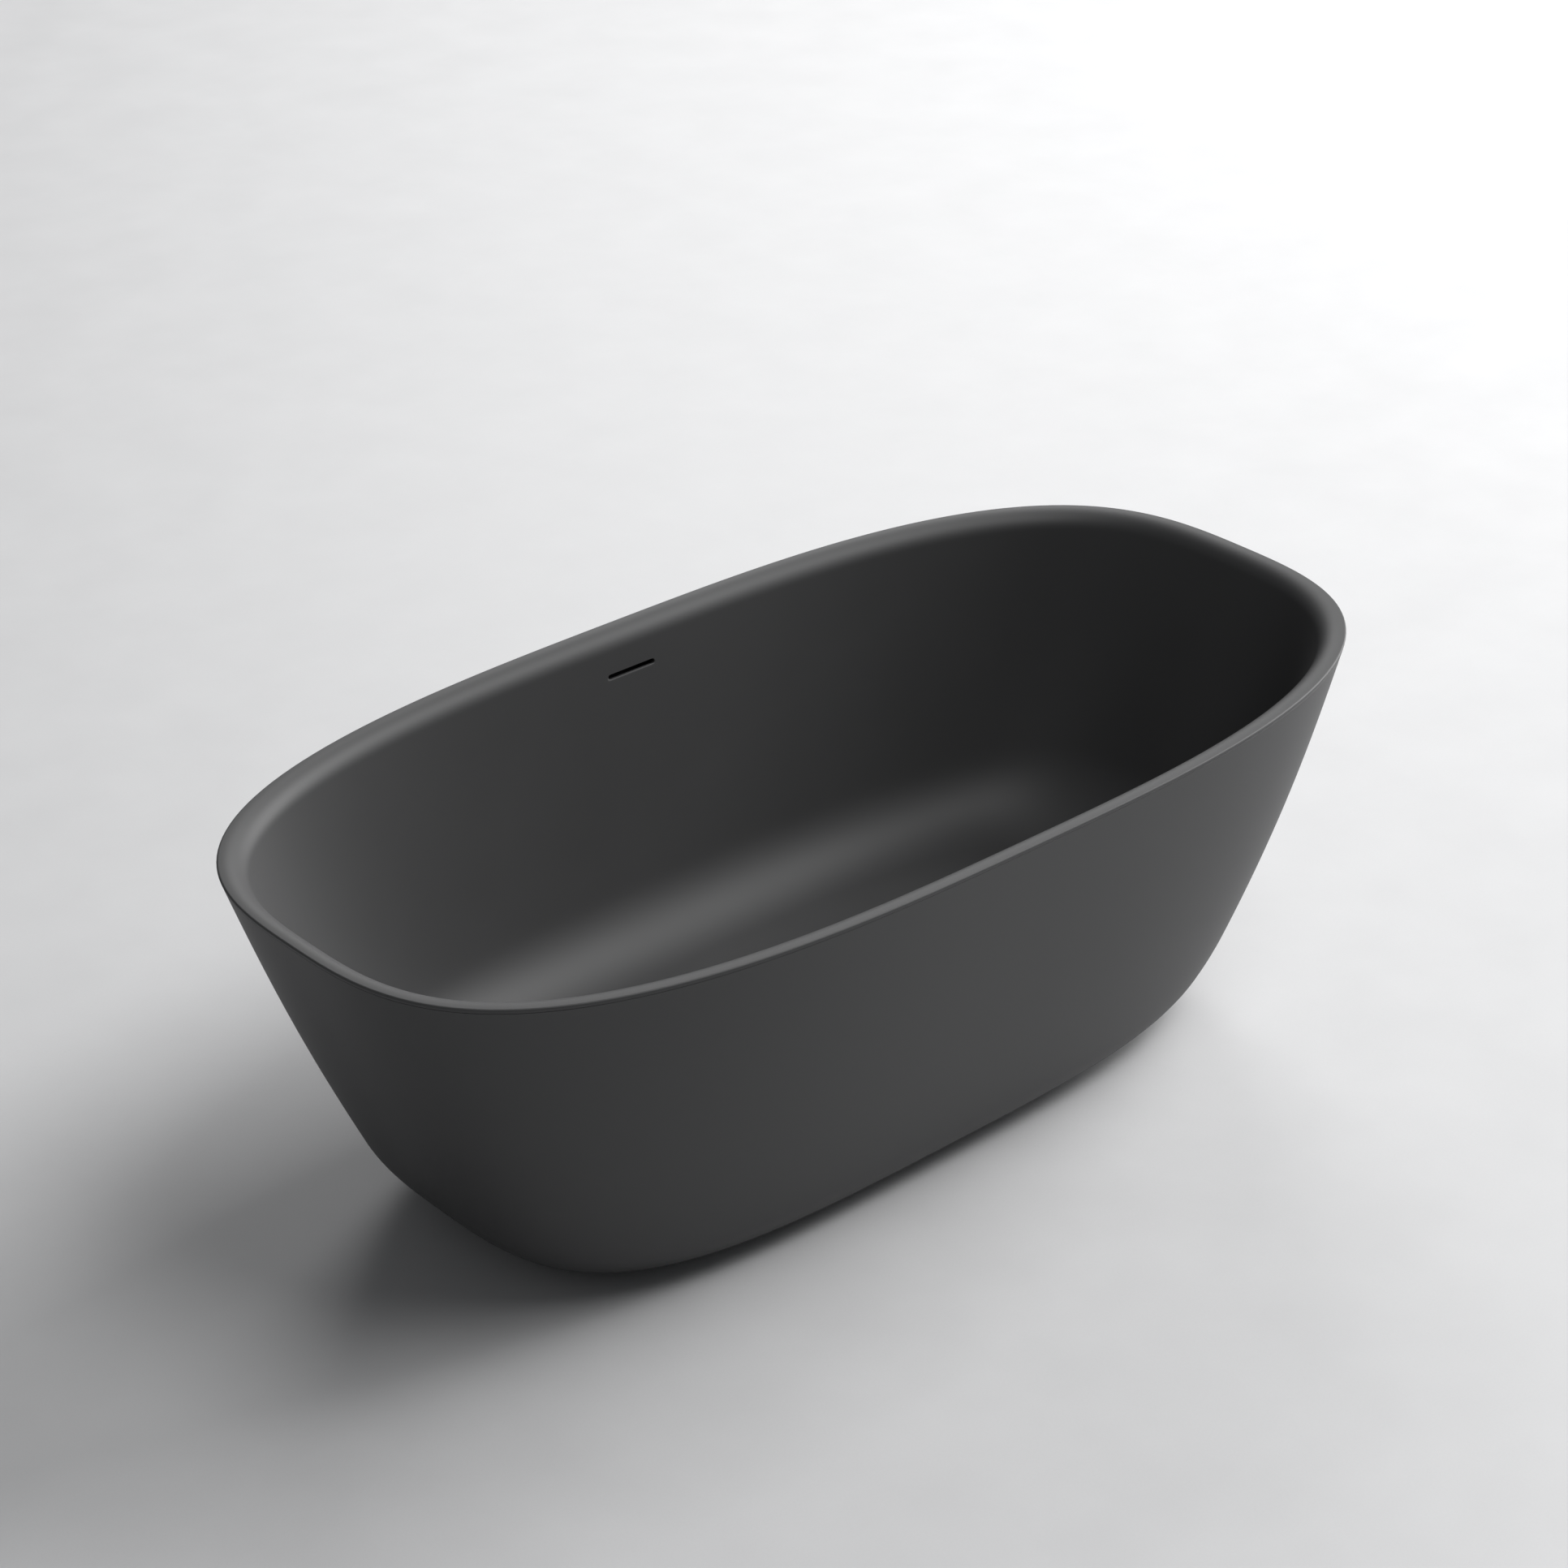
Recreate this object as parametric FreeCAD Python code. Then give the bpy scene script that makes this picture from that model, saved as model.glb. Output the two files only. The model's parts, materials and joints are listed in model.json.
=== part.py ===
import FreeCAD, Part
import math
import os

# A double-skin freestanding bathtub. Millimetres. +Z up, +X along the tub, +Y towards the overflow side.
# The origin is the centre of the footprint on the floor.

# ---- overall shape ----
LENGTH = 1700.0
WIDTH = 850.0
HEIGHT = 560.0
RIM_EXPONENT = 2.95
BASE_EXPONENT = 3.45
OUTLINE_POINTS = 48

# Outer face: lean from vertical in degrees, radius into the base, outward bow at mid height.
END_LEAN = 22.4
END_RADIUS = 200.0
END_BOW = 9.2
SIDE_LEAN = 14.5
SIDE_RADIUS = 94.0
SIDE_BOW = 13.5

# Basin: its inner face.
FLOOR_Z = 130.0
WELL_END_LEAN = 24.0
WELL_END_RADIUS = 170.0
WELL_SIDE_LEAN = 16.5
WELL_SIDE_RADIUS = 110.0
RIM_FLAT = 7.0
RIM_ROUND = 33.0
RIM_EDGE_RADIUS = 2.4
EDGE_Z = HEIGHT - RIM_EDGE_RADIUS
SHELL_SKIN = 6.0
SKIRT_SKIN = 4.0
SKIRT_GAP = 6.0
SEAM_CHAMFER = 0.5
FALL_DEPTH = 2.0
FALL_SPHERE_R = 9000.0

# Overflow slot and what stands behind it, in the wall's own frame: u along X, w up the wall, n outward.
SLOT_Z = 500.0
SLOT_LENGTH = 84.0
SLOT_HEIGHT = 7.0
SLOT_REACH = 24.0
SEAL_LENGTH = 112.0
SEAL_HEIGHT = 34.0
SEAL_THICK = 2.0
WINDOW_LENGTH = 90.0
WINDOW_HEIGHT = 15.0
BOX_LENGTH = 100.0
BOX_TOP = 12.0
BOX_BOTTOM = -32.0
BOX_DEPTH = 17.0
BOX_WALL = 2.0
BOX_FLANGE = 2.5
BOX_ROUND = 6.0
BACK_GAP = 0.3
SPIGOT_R = 7.95
SPIGOT_BORE_R = 6.0
SPIGOT_LENGTH = 24.0
SPIGOT_N = 12.2

# Overflow hose.
HOSE_R = 9.5
HOSE_BORE_R = 8.0
HOSE_MID_Z = 330.0
HOSE_LOW_Z = 225.0
HOSE_STRAIGHT = 40.0
HOSE_UPPER_BEND_R = 500.0
HOSE_WALL_BEND_R = 700.0
HOSE_LOW_BEND_R = 95.0
CLIP_BORE_R = 9.55
CLIP_R = 10.8
CLIP_WIDTH = 9.0
CLIP_SETBACK = 11.0
CLIP_LUG = (7.0, 12.0, 5.0)
CLIP_SCREW_R = 2.2
CLIP_HEAD = 4.0

# Drain, from the basin's floor down.
RECESS_R = 36.5
RECESS_Z = 125.5
DRAIN_HOLE_R = 23.2
BOSS_R = 52.0
BOSS_Z = 119.0
FLANGE_R = 34.5
FLANGE_Z = 127.0
FLANGE_THICK = 2.0
TAIL_R = 22.5
TAIL_BORE_R = 19.5
TAIL_Z = 92.0
SPIDER_SPOKES = 3
SPOKE_WIDTH = 4.0
SPOKE_LAP = 1.0
SPIDER_TOP = 112.0
SPIDER_BOTTOM = 102.0
HUB_R = 11.0
TOP_SEAL_R = 34.0
SEAL_BORE_R = 23.6
LOW_SEAL_R = 41.0
LOW_SEAL_Z = 116.0

# Waste body.
WASTE_FLANGE_R = 42.0
WASTE_FLANGE_Z = 112.0
WASTE_R = 28.0
WASTE_Z = 60.0
WASTE_BORE_R = 22.55
WASTE_STEP_Z = 90.0
WASTE_LOW_BORE_R = 19.0
WASTE_THREAD_R = 25.0
WASTE_END_Z = 46.0
BRANCH_Z = 72.0
BRANCH_END_Y = 58.0

# Click cartridge and plug.
BARREL_R = 8.0
BARREL_BORE_R = 6.7
BARREL_Z = 74.0
BARREL_TOP = 114.0
BARREL_FLOOR = 2.0
BARREL_GUIDE_R = 3.9
BARREL_VENT_R = 1.5
STEM_R = 3.5
COLLAR_R = 6.65
COLLAR_Z = 95.0
COLLAR_THICK = 4.0
STEM_TOP = 129.0
CAP_R = 34.0
CAP_Z = 131.3
CAP_EDGE = 1.2
CAP_DOME = 2.6
CAP_BOSS_R = 6.0
CAP_BOSS_Z = 118.0
PLUG_SEAL_R = 30.5
PLUG_SEAL_BORE_R = 25.5
PLUG_SEAL_Z = 129.3
SPRING_WIRE_R = 0.7
SPRING_R = 5.0
SPRING_TURNS = 6
SPRING_ARCS = 8
SPRING_ARC_STEPS = 4
SPRING_CLEAR = 0.2
SPRING_LOW = BARREL_Z + BARREL_FLOOR + SPRING_CLEAR + SPRING_WIRE_R
SPRING_PITCH = (COLLAR_Z - SPRING_CLEAR - SPRING_WIRE_R - SPRING_LOW) / SPRING_TURNS

# Trap.
WASHER_BORE_R = 19.0
WASHER_R = 24.6
WASHER_Z = 44.0
TRAP_LIP_R = 25.0
TRAP_LIP_Z = 41.0
TRAP_INLET_R = 21.0
TRAP_INLET_BORE_R = 18.5
TRAP_FLOOR_Z = 11.0
TRAP_WALL = 2.5
TRAP_ARM_TOP = 36.5
TRAP_ARM_WIDTH = 48.0
TRAP_ARM_ROUND = 6.0
DRUM_X = -112.0
DRUM_R = 42.0
DRUM_TOP = 92.0
BAFFLE_X = -102.0
BAFFLE_Z = 24.0
OUTLET_Z = 58.0
OUTLET_X = -188.0
ELBOW_R = 22.0
OUTLET_R = 25.0
OUTLET_BORE_R = 20.2
OUTLET_THROAT_R = 17.5
OUTLET_STOP_Z = 44.0
OUTLET_SOCKET_TOP = 47.0
OUTLET_END_Z = 20.0
PIPE_SEAL_Z = 17.0
OUTLET_NUT_Z = 13.0
OUTLET_NUT_TOP = 34.0
OUTLET_NUT_R = 29.5
UNION_NUT_R = 31.0
UNION_NUT_Z = 37.5
UNION_NUT_TOP = 58.0
THREAD_CLEAR = 0.05
CAP_NUT_R = 46.0
CAP_NUT_Z = 84.0
CAP_NUT_TOP = 98.0
CAP_SEAL_R = 41.5
CAP_SEAL_BORE_R = 37.0
CAP_SEAL_THICK = 2.0
NUT_RIBS = 24
RIB_R = 1.2

# Board and frame.
BOARD_LENGTH = 900.0
BOARD_WIDTH = 340.0
BOARD_THICK = 15.0
BOARD_CORNER_R = 60.0
BOARD_HOLE_R = 60.0
RAIL_WIDTH = 30.0
RAIL_HEIGHT = 20.0
RAIL_WALL = 2.0
RAIL_LENGTH = 760.0
RAIL_Y = 135.0
CROSS_X = (200.0, 340.0)
WELD_NUT_ACROSS = 24.0
WELD_NUT_HEIGHT = 14.0

# Feet: M12 studs at the frame's corners.
FOOT_X = 340.0
FOOT_Y = 135.0
FOOT_SIDES = (
    ("left_front", -1, -1),
    ("left_back", -1, 1),
    ("right_front", 1, -1),
    ("right_back", 1, 1),
)
STUD_R = 6.0
STUD_BORE_R = 6.05
STUD_CLEAR_R = 7.0
STUD_Z = 9.0
STUD_TOP = 105.0
STUD_DISC_R = 12.0
STUD_DISC_Z = 4.0
STUD_CHAMFER = 1.0
PAD_R = 28.0
PAD_TOP = 12.0
PAD_SHOULDER_R = 20.0
PAD_POCKET_R = 12.4
PAD_NECK_R = 6.5
PAD_FLOOR = 3.7
PAD_LID = 9.4
LOCK_NUT_ACROSS = 18.0
LOCK_NUT_HEIGHT = 7.0
HEX_FLAT_GAP = 1.0
HEX_FLAT_HEIGHT = 16.0
HEX_FLAT_ACROSS = 10.0

# Fasteners and brackets.
SCREW_R = 2.5
SCREW_BORE_R = 2.55
SCREW_HEAD_R = 4.5
SCREW_HEAD = 2.5
SCREW_BITE = 11.0
SCREW_X = (110.0, 300.0)
BRACKET_X = 250.0
BRACKET_WIDTH = 40.0
BRACKET_THICK = 3.0
BRACKET_LAP = 28.0
BRACKET_TAB = 70.0
BRACKET_STANDOFF = 1.5
BRACKET_SCREW_X = 12.0
BRACKET_SCREW_Y = 140.0

# Outlines per loft.
SKIRT_STEPS = 16
WELL_STEPS = 24
EDGE_STEPS = 6


def vec(x, y, z):
    return FreeCAD.Vector(x, y, z)


def tube(outer, bore, low, high):
    """A vertical tube about Z between two heights."""
    body = Part.makeCylinder(outer, high - low, vec(0, 0, low))
    return body.cut(Part.makeCylinder(bore, high - low, vec(0, 0, low)))


def box(low, high):
    size = high - low
    return Part.makeBox(size.x, size.y, size.z, low)


def fuse(shapes):
    whole = shapes[0].fuse(shapes[1:])
    return whole.removeSplitter()


def save(name, shape):
    shape.exportStep("parts/" + name + ".step")


# ---- the two skins ----

def exponent(z):
    """The plan squares up a little from the rim to the base."""
    return RIM_EXPONENT + (BASE_EXPONENT - RIM_EXPONENT) * (HEIGHT - z) / HEIGHT


def bow(z, amount):
    return amount * math.sin(math.pi * (HEIGHT - z) / HEIGHT)


def outer_half(z, rim_half, lean, radius, swell):
    """Half size of the outer face at height z: a leaning wall with a bow, then an arc into the base."""
    slope = math.radians(lean)
    arc_top = radius * (1 - math.sin(slope))
    half = rim_half - (EDGE_Z - min(max(z, arc_top), EDGE_Z)) * math.tan(slope)
    if z < arc_top:
        half += math.sqrt(radius ** 2 - (radius - z) ** 2) - radius * math.cos(slope)
    return half + bow(min(z, EDGE_Z), swell) - bow(EDGE_Z, swell)


def outer_size(z):
    end = outer_half(z, LENGTH / 2, END_LEAN, END_RADIUS, END_BOW)
    side = outer_half(z, WIDTH / 2, SIDE_LEAN, SIDE_RADIUS, SIDE_BOW)
    return end, side


def well_half(z, rim_half, lean, radius, swell, skin):
    """Half size of the basin's face at height z, moved out by skin: rim round, leaning wall, floor arc."""
    slope = math.radians(lean)
    rim_centre = HEIGHT - RIM_ROUND
    flat_half = rim_half - RIM_FLAT
    rim_r = RIM_ROUND - skin
    wall_top_z = rim_centre + rim_r * math.sin(slope)
    if z > wall_top_z:
        return flat_half - math.sqrt(max(rim_r ** 2 - (z - rim_centre) ** 2, 0.0)) + bow(z, swell)
    floor_r = radius + skin
    floor_centre = FLOOR_Z + radius
    wall_end_z = floor_centre - floor_r * math.sin(slope)
    level = max(z, wall_end_z)
    half = flat_half - rim_r * math.cos(slope) - (wall_top_z - level) * math.tan(slope)
    if z < wall_end_z:
        reach = math.sqrt(max(floor_r ** 2 - (floor_centre - z) ** 2, 0.0))
        half += reach - floor_r * math.cos(slope)
    return half + bow(z, swell)


def well_size(z, skin):
    end = well_half(z, LENGTH / 2, WELL_END_LEAN, WELL_END_RADIUS, END_BOW, skin)
    side = well_half(z, WIDTH / 2, WELL_SIDE_LEAN, WELL_SIDE_RADIUS, SIDE_BOW, skin)
    return end, side


def inset_size(z, skin):
    """The outer face moved in by skin along its own normal."""
    end, side = outer_size(z)
    step = 1.0
    upper_end, upper_side = outer_size(z + step)
    end_rate = (upper_end - end) / step
    side_rate = (upper_side - side) / step
    return end - skin * math.hypot(1, end_rate), side - skin * math.hypot(1, side_rate)


def outline(size, z, power):
    """A closed superellipse at height z, as one periodic curve."""
    points = []
    for k in range(OUTLINE_POINTS):
        angle = 2 * math.pi * k / OUTLINE_POINTS
        c = math.cos(angle)
        s = math.sin(angle)
        scale = (abs(c) ** power + abs(s) ** power) ** (-1 / power)
        points.append(vec(size[0] * c * scale, size[1] * s * scale, z))
    curve = Part.BSplineCurve()
    curve.interpolate(Points=points, PeriodicFlag=True)
    return Part.Wire(curve.toShape())


def loft(levels, size_at, ruled=False):
    """A solid through outlines at the given heights."""
    wires = [outline(size_at(z), z, exponent(z)) for z in levels]
    return Part.makeLoft(wires, True, ruled)


def eased_levels(low, high, count):
    """Heights from low to high, closer together near both ends."""
    return [low + (high - low) * (1 - math.cos(math.pi * k / count)) / 2 for k in range(count + 1)]


def rim_slab():
    """The rim's top layer: full outline, with a crisp rounded outer edge."""
    low = HEIGHT - SHELL_SKIN
    levels = [(low, SEAM_CHAMFER), (low + SEAM_CHAMFER, 0.0), (EDGE_Z, 0.0)]
    for k in range(1, EDGE_STEPS + 1):
        angle = math.pi / 2 * k / EDGE_STEPS
        rise = RIM_EDGE_RADIUS * math.sin(angle)
        levels.append((EDGE_Z + rise, RIM_EDGE_RADIUS * (1 - math.cos(angle))))
    wires = []
    for z, inset in levels:
        end, side = outer_size(z)
        wires.append(outline((end - inset, side - inset), z, exponent(z)))
    return Part.makeLoft(wires, True, True)


def wall_point(z):
    """The back of the basin wall at x = 0: its y, and the unit vectors up the wall and out of it."""
    step = 2.0
    y = well_size(z, SHELL_SKIN)[1]
    rate = (well_size(z + step, SHELL_SKIN)[1] - well_size(z - step, SHELL_SKIN)[1]) / (2 * step)
    up = vec(0, rate, 1)
    up.normalize()
    out = vec(0, up.z, -up.y)
    return y, up, out


def to_wall(shape):
    """Moves a shape from the wall's own frame (u, n, w) to its place behind the slot."""
    y, up, out = wall_point(SLOT_Z)
    tilt = -math.degrees(math.atan2(up.y, up.z))
    moved = shape.copy()
    moved.rotate(vec(0, 0, 0), vec(1, 0, 0), tilt)
    moved.translate(vec(0, y, SLOT_Z))
    return moved


def slot_prism(length, height, low_n, high_n):
    """A round-ended slot along u, cut through n."""
    radius = height / 2
    depth = high_n - low_n
    reach = length / 2 - radius
    along = vec(0, 1, 0)
    left = Part.makeCylinder(radius, depth, vec(-reach, low_n, 0), along)
    right = Part.makeCylinder(radius, depth, vec(reach, low_n, 0), along)
    middle = box(vec(-reach, low_n, -radius), vec(reach, high_n, radius))
    return fuse([left, right, middle])


def basin_shell():
    well = loft(eased_levels(FLOOR_Z, HEIGHT, WELL_STEPS), lambda z: well_size(z, 0.0))
    low = FLOOR_Z - SHELL_SKIN
    back = loft(eased_levels(low, HEIGHT - SHELL_SKIN, WELL_STEPS), lambda z: well_size(z, SHELL_SKIN))
    boss = Part.makeCylinder(BOSS_R, FLOOR_Z - BOSS_Z, vec(0, 0, BOSS_Z))
    body = back.fuse([rim_slab(), boss]).cut(well)
    fall = Part.makeSphere(FALL_SPHERE_R, vec(0, 0, FLOOR_Z - FALL_DEPTH + FALL_SPHERE_R))
    fall_cap = fall.common(Part.makeCylinder(WIDTH / 4, FALL_DEPTH, vec(0, 0, FLOOR_Z - FALL_DEPTH)))
    recess = Part.makeCylinder(RECESS_R, FLOOR_Z - RECESS_Z, vec(0, 0, RECESS_Z))
    hole = Part.makeCylinder(DRAIN_HOLE_R, FLOOR_Z, vec(0, 0, 0))
    slot = to_wall(slot_prism(SLOT_LENGTH, SLOT_HEIGHT, -SLOT_REACH, SHELL_SKIN))
    return body.cut([fall_cap, recess, hole, slot])


def outer_skirt():
    top = HEIGHT - SHELL_SKIN
    levels = [SKIRT_GAP + (top - SKIRT_GAP) * (k / SKIRT_STEPS) ** 1.6 for k in range(SKIRT_STEPS + 1)]
    outside = loft(levels, outer_size)
    past = 2.0
    inner_levels = [levels[0] - past] + levels + [levels[-1] + past]
    inside = loft(inner_levels, lambda z: inset_size(z, SKIRT_SKIN))
    return outside.cut(inside)


# ---- overflow ----

def overflow_seal():
    start = BACK_GAP
    high = vec(SEAL_LENGTH / 2, start + SEAL_THICK, SEAL_HEIGHT / 2)
    plate = box(vec(-SEAL_LENGTH / 2, start, -SEAL_HEIGHT / 2), high)
    window = slot_prism(WINDOW_LENGTH, WINDOW_HEIGHT, start, start + SEAL_THICK)
    return to_wall(plate.cut(window))


def overflow_box():
    start = BACK_GAP + SEAL_THICK
    half = SEAL_LENGTH / 2
    flange = box(vec(-half, start, -SEAL_HEIGHT / 2), vec(half, start + BOX_FLANGE, SEAL_HEIGHT / 2))
    shell = box(vec(-BOX_LENGTH / 2, start, BOX_BOTTOM), vec(BOX_LENGTH / 2, BOX_DEPTH, BOX_TOP))
    upright = [e for e in shell.Edges if abs(e.Vertexes[0].Point.y - e.Vertexes[-1].Point.y) > 1]
    shell = shell.makeFillet(BOX_ROUND, upright)
    low_n = start + BOX_FLANGE
    cavity = box(
        vec(-BOX_LENGTH / 2 + BOX_WALL, low_n, BOX_BOTTOM + BOX_WALL),
        vec(BOX_LENGTH / 2 - BOX_WALL, BOX_DEPTH - BOX_WALL, BOX_TOP - BOX_WALL),
    )
    window = slot_prism(WINDOW_LENGTH, WINDOW_HEIGHT, start, low_n)
    length = SPIGOT_LENGTH + BOX_WALL
    base = vec(0, SPIGOT_N, BOX_BOTTOM - SPIGOT_LENGTH)
    spigot = Part.makeCylinder(SPIGOT_R, length, base)
    bore = Part.makeCylinder(SPIGOT_BORE_R, length + BOX_WALL, base)
    return to_wall(fuse([flange, shell, spigot]).cut([cavity, window, bore]))


def wall_frame_point(n, w):
    y, up, out = wall_point(SLOT_Z)
    return vec(0, y, SLOT_Z) + out * n + up * w


def rounded_path(points, radii):
    """Straight runs joined by tangent arcs, as a wire."""
    edges = []
    start = points[0]
    for k in range(1, len(points) - 1):
        corner = points[k]
        back = points[k - 1] - corner
        ahead = points[k + 1] - corner
        back.normalize()
        ahead.normalize()
        half_angle = math.acos(back.dot(ahead)) / 2
        reach = radii[k - 1] / math.tan(half_angle)
        entry = corner + back * reach
        leave = corner + ahead * reach
        middle = back + ahead
        middle.normalize()
        bulge = corner + middle * (radii[k - 1] / math.sin(half_angle) - radii[k - 1])
        edges.append(Part.makeLine(start, entry))
        edges.append(Part.Arc(entry, bulge, leave).toShape())
        start = leave
    edges.append(Part.makeLine(start, points[-1]))
    return Part.Wire(edges)


def gap_middle(z):
    """Half way between the basin's back and the skirt's inner face, at x = 0."""
    return (well_size(z, SHELL_SKIN)[1] + inset_size(z, SKIRT_SKIN)[1]) / 2


def hose_points():
    """From the box's spigot down between the skins, then in to the waste body's branch."""
    start = wall_frame_point(SPIGOT_N, BOX_BOTTOM - 1.0)
    below = wall_frame_point(SPIGOT_N, BOX_BOTTOM - HOSE_STRAIGHT)
    mid = vec(0, gap_middle(HOSE_MID_Z), HOSE_MID_Z)
    low = vec(0, gap_middle(HOSE_LOW_Z), HOSE_LOW_Z)
    turn = mid + (low - mid) * ((mid.z - BRANCH_Z) / (mid.z - low.z))
    return [start, below, mid, turn, vec(0, WASTE_R + 2.0, BRANCH_Z)]


def overflow_hose():
    points = hose_points()
    path = rounded_path(points, [HOSE_UPPER_BEND_R, HOSE_WALL_BEND_R, HOSE_LOW_BEND_R])
    heading = points[0] - points[1]

    def sweep(radius):
        ring = Part.Wire(Part.makeCircle(radius, points[0], heading))
        return path.makePipeShell([ring], True, False)

    return sweep(HOSE_R).cut(sweep(HOSE_BORE_R))


def clip():
    """A worm-drive band about Z, centred on the origin, its screw housing towards +X."""
    band = tube(CLIP_R, CLIP_BORE_R, -CLIP_WIDTH / 2, CLIP_WIDTH / 2)
    wide, long_side, tall = CLIP_LUG
    lug = box(vec(CLIP_R - 1, -long_side / 2, -wide / 2), vec(CLIP_R - 1 + tall, long_side / 2, wide / 2))
    lug = lug.cut(Part.makeCylinder(CLIP_BORE_R, CLIP_WIDTH, vec(0, 0, -CLIP_WIDTH / 2)))
    start = vec(CLIP_R + tall / 2, -long_side / 2 - CLIP_HEAD, 0)
    screw = Part.makeCylinder(CLIP_SCREW_R, long_side + CLIP_HEAD, start, vec(0, 1, 0))
    return fuse([band, lug, screw])


def upper_clip():
    shape = clip()
    shape.translate(vec(0, SPIGOT_N, BOX_BOTTOM - CLIP_SETBACK))
    return to_wall(shape)


def lower_clip():
    shape = clip()
    shape.rotate(vec(0, 0, 0), vec(1, 0, 0), 90)
    shape.translate(vec(0, BRANCH_END_Y - CLIP_SETBACK, BRANCH_Z))
    return shape


# ---- drain ----

def drain_flange():
    disc = Part.makeCylinder(FLANGE_R, FLANGE_THICK, vec(0, 0, FLANGE_Z))
    tail = Part.makeCylinder(TAIL_R, FLANGE_Z - TAIL_Z, vec(0, 0, TAIL_Z))
    throat = Part.makeCylinder(TAIL_BORE_R, FLANGE_Z, vec(0, 0, TAIL_Z))
    seat = Part.makeCone(TAIL_BORE_R, TAIL_BORE_R + FLANGE_THICK, FLANGE_THICK, vec(0, 0, FLANGE_Z))
    body = fuse([disc, tail]).cut([throat, seat])
    hub = tube(HUB_R, BARREL_R + THREAD_CLEAR, SPIDER_BOTTOM, SPIDER_TOP)
    parts = [body, hub]
    for k in range(SPIDER_SPOKES):
        reach = TAIL_BORE_R - HUB_R + 2 * SPOKE_LAP
        spoke = Part.makeBox(reach, SPOKE_WIDTH, SPIDER_TOP - SPIDER_BOTTOM)
        spoke.translate(vec(HUB_R - SPOKE_LAP, -SPOKE_WIDTH / 2, SPIDER_BOTTOM))
        spoke.rotate(vec(0, 0, 0), vec(0, 0, 1), 360 * k / SPIDER_SPOKES)
        parts.append(spoke)
    return fuse(parts)


def waste_body():
    flange = Part.makeCylinder(WASTE_FLANGE_R, LOW_SEAL_Z - WASTE_FLANGE_Z, vec(0, 0, WASTE_FLANGE_Z))
    barrel = Part.makeCylinder(WASTE_R, LOW_SEAL_Z - WASTE_Z, vec(0, 0, WASTE_Z))
    thread = Part.makeCylinder(WASTE_THREAD_R, WASTE_Z - WASTE_END_Z, vec(0, 0, WASTE_END_Z))
    along = vec(0, 1, 0)
    centre = vec(0, 0, BRANCH_Z)
    branch = Part.makeCylinder(SPIGOT_R, BRANCH_END_Y, centre, along)
    solid = fuse([flange, barrel, thread, branch])
    upper = Part.makeCylinder(WASTE_BORE_R, LOW_SEAL_Z - WASTE_STEP_Z, vec(0, 0, WASTE_STEP_Z))
    lower = Part.makeCylinder(WASTE_LOW_BORE_R, LOW_SEAL_Z - WASTE_END_Z, vec(0, 0, WASTE_END_Z))
    branch_bore = Part.makeCylinder(SPIGOT_BORE_R, BRANCH_END_Y, centre, along)
    return solid.cut([upper, lower, branch_bore])


def click_barrel():
    body = Part.makeCylinder(BARREL_R, BARREL_TOP - BARREL_Z, vec(0, 0, BARREL_Z))
    floor = BARREL_Z + BARREL_FLOOR
    bore = Part.makeCylinder(BARREL_BORE_R, BARREL_TOP - BARREL_FLOOR - floor, vec(0, 0, floor))
    guide = Part.makeCylinder(BARREL_GUIDE_R, BARREL_FLOOR, vec(0, 0, BARREL_TOP - BARREL_FLOOR))
    vent = Part.makeCylinder(BARREL_VENT_R, BARREL_FLOOR, vec(0, 0, BARREL_Z))
    return body.cut([bore, guide, vent])


def spring_point(turn):
    angle = 2 * math.pi * turn
    return vec(SPRING_R * math.cos(angle), SPRING_R * math.sin(angle), SPRING_LOW + SPRING_PITCH * turn)


def spring_heading(turn):
    angle = 2 * math.pi * turn
    sweep = 2 * math.pi * SPRING_R
    return vec(-sweep * math.sin(angle), sweep * math.cos(angle), SPRING_PITCH).normalize()


def click_spring():
    """The wire swept along a helix of short curves, so that each face stays small."""
    curves = []
    for k in range(SPRING_TURNS * SPRING_ARCS):
        turns = [(k + part / SPRING_ARC_STEPS) / SPRING_ARCS for part in range(SPRING_ARC_STEPS + 1)]
        curve = Part.BSplineCurve()
        curve.interpolate(
            Points=[spring_point(turn) for turn in turns],
            InitialTangent=spring_heading(turns[0]),
            FinalTangent=spring_heading(turns[-1]),
        )
        curves.append(curve.toShape())
    ring = Part.Wire(Part.makeCircle(SPRING_WIRE_R, spring_point(0), spring_heading(0)))
    return Part.Wire(curves).makePipeShell([ring], True, True)


def plug_stem():
    rod = Part.makeCylinder(STEM_R, STEM_TOP - COLLAR_Z, vec(0, 0, COLLAR_Z))
    collar = Part.makeCylinder(COLLAR_R, COLLAR_THICK, vec(0, 0, COLLAR_Z))
    return fuse([rod, collar])


def plug_cap():
    top = CAP_Z + CAP_EDGE
    rim = Part.makeCylinder(CAP_R, CAP_EDGE, vec(0, 0, CAP_Z))
    dome_r = (CAP_R ** 2 + CAP_DOME ** 2) / (2 * CAP_DOME)
    ball = Part.makeSphere(dome_r, vec(0, 0, top + CAP_DOME - dome_r))
    dome = ball.common(Part.makeCylinder(CAP_R, CAP_DOME + 1, vec(0, 0, top)))
    boss = Part.makeCylinder(CAP_BOSS_R, CAP_Z - CAP_BOSS_Z, vec(0, 0, CAP_BOSS_Z))
    bore = Part.makeCylinder(STEM_R, STEM_TOP - CAP_BOSS_Z, vec(0, 0, CAP_BOSS_Z))
    return fuse([rim, dome, boss]).cut(bore)


# ---- trap ----

def ribs(radius, low, high):
    """Grip ribs standing on a nut's outside."""
    bars = []
    for k in range(NUT_RIBS):
        bar = Part.makeCylinder(RIB_R, high - low, vec(radius - RIB_R / 2, 0, low))
        bar.rotate(vec(0, 0, 0), vec(0, 0, 1), 360 * k / NUT_RIBS)
        bars.append(bar)
    return bars


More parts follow.
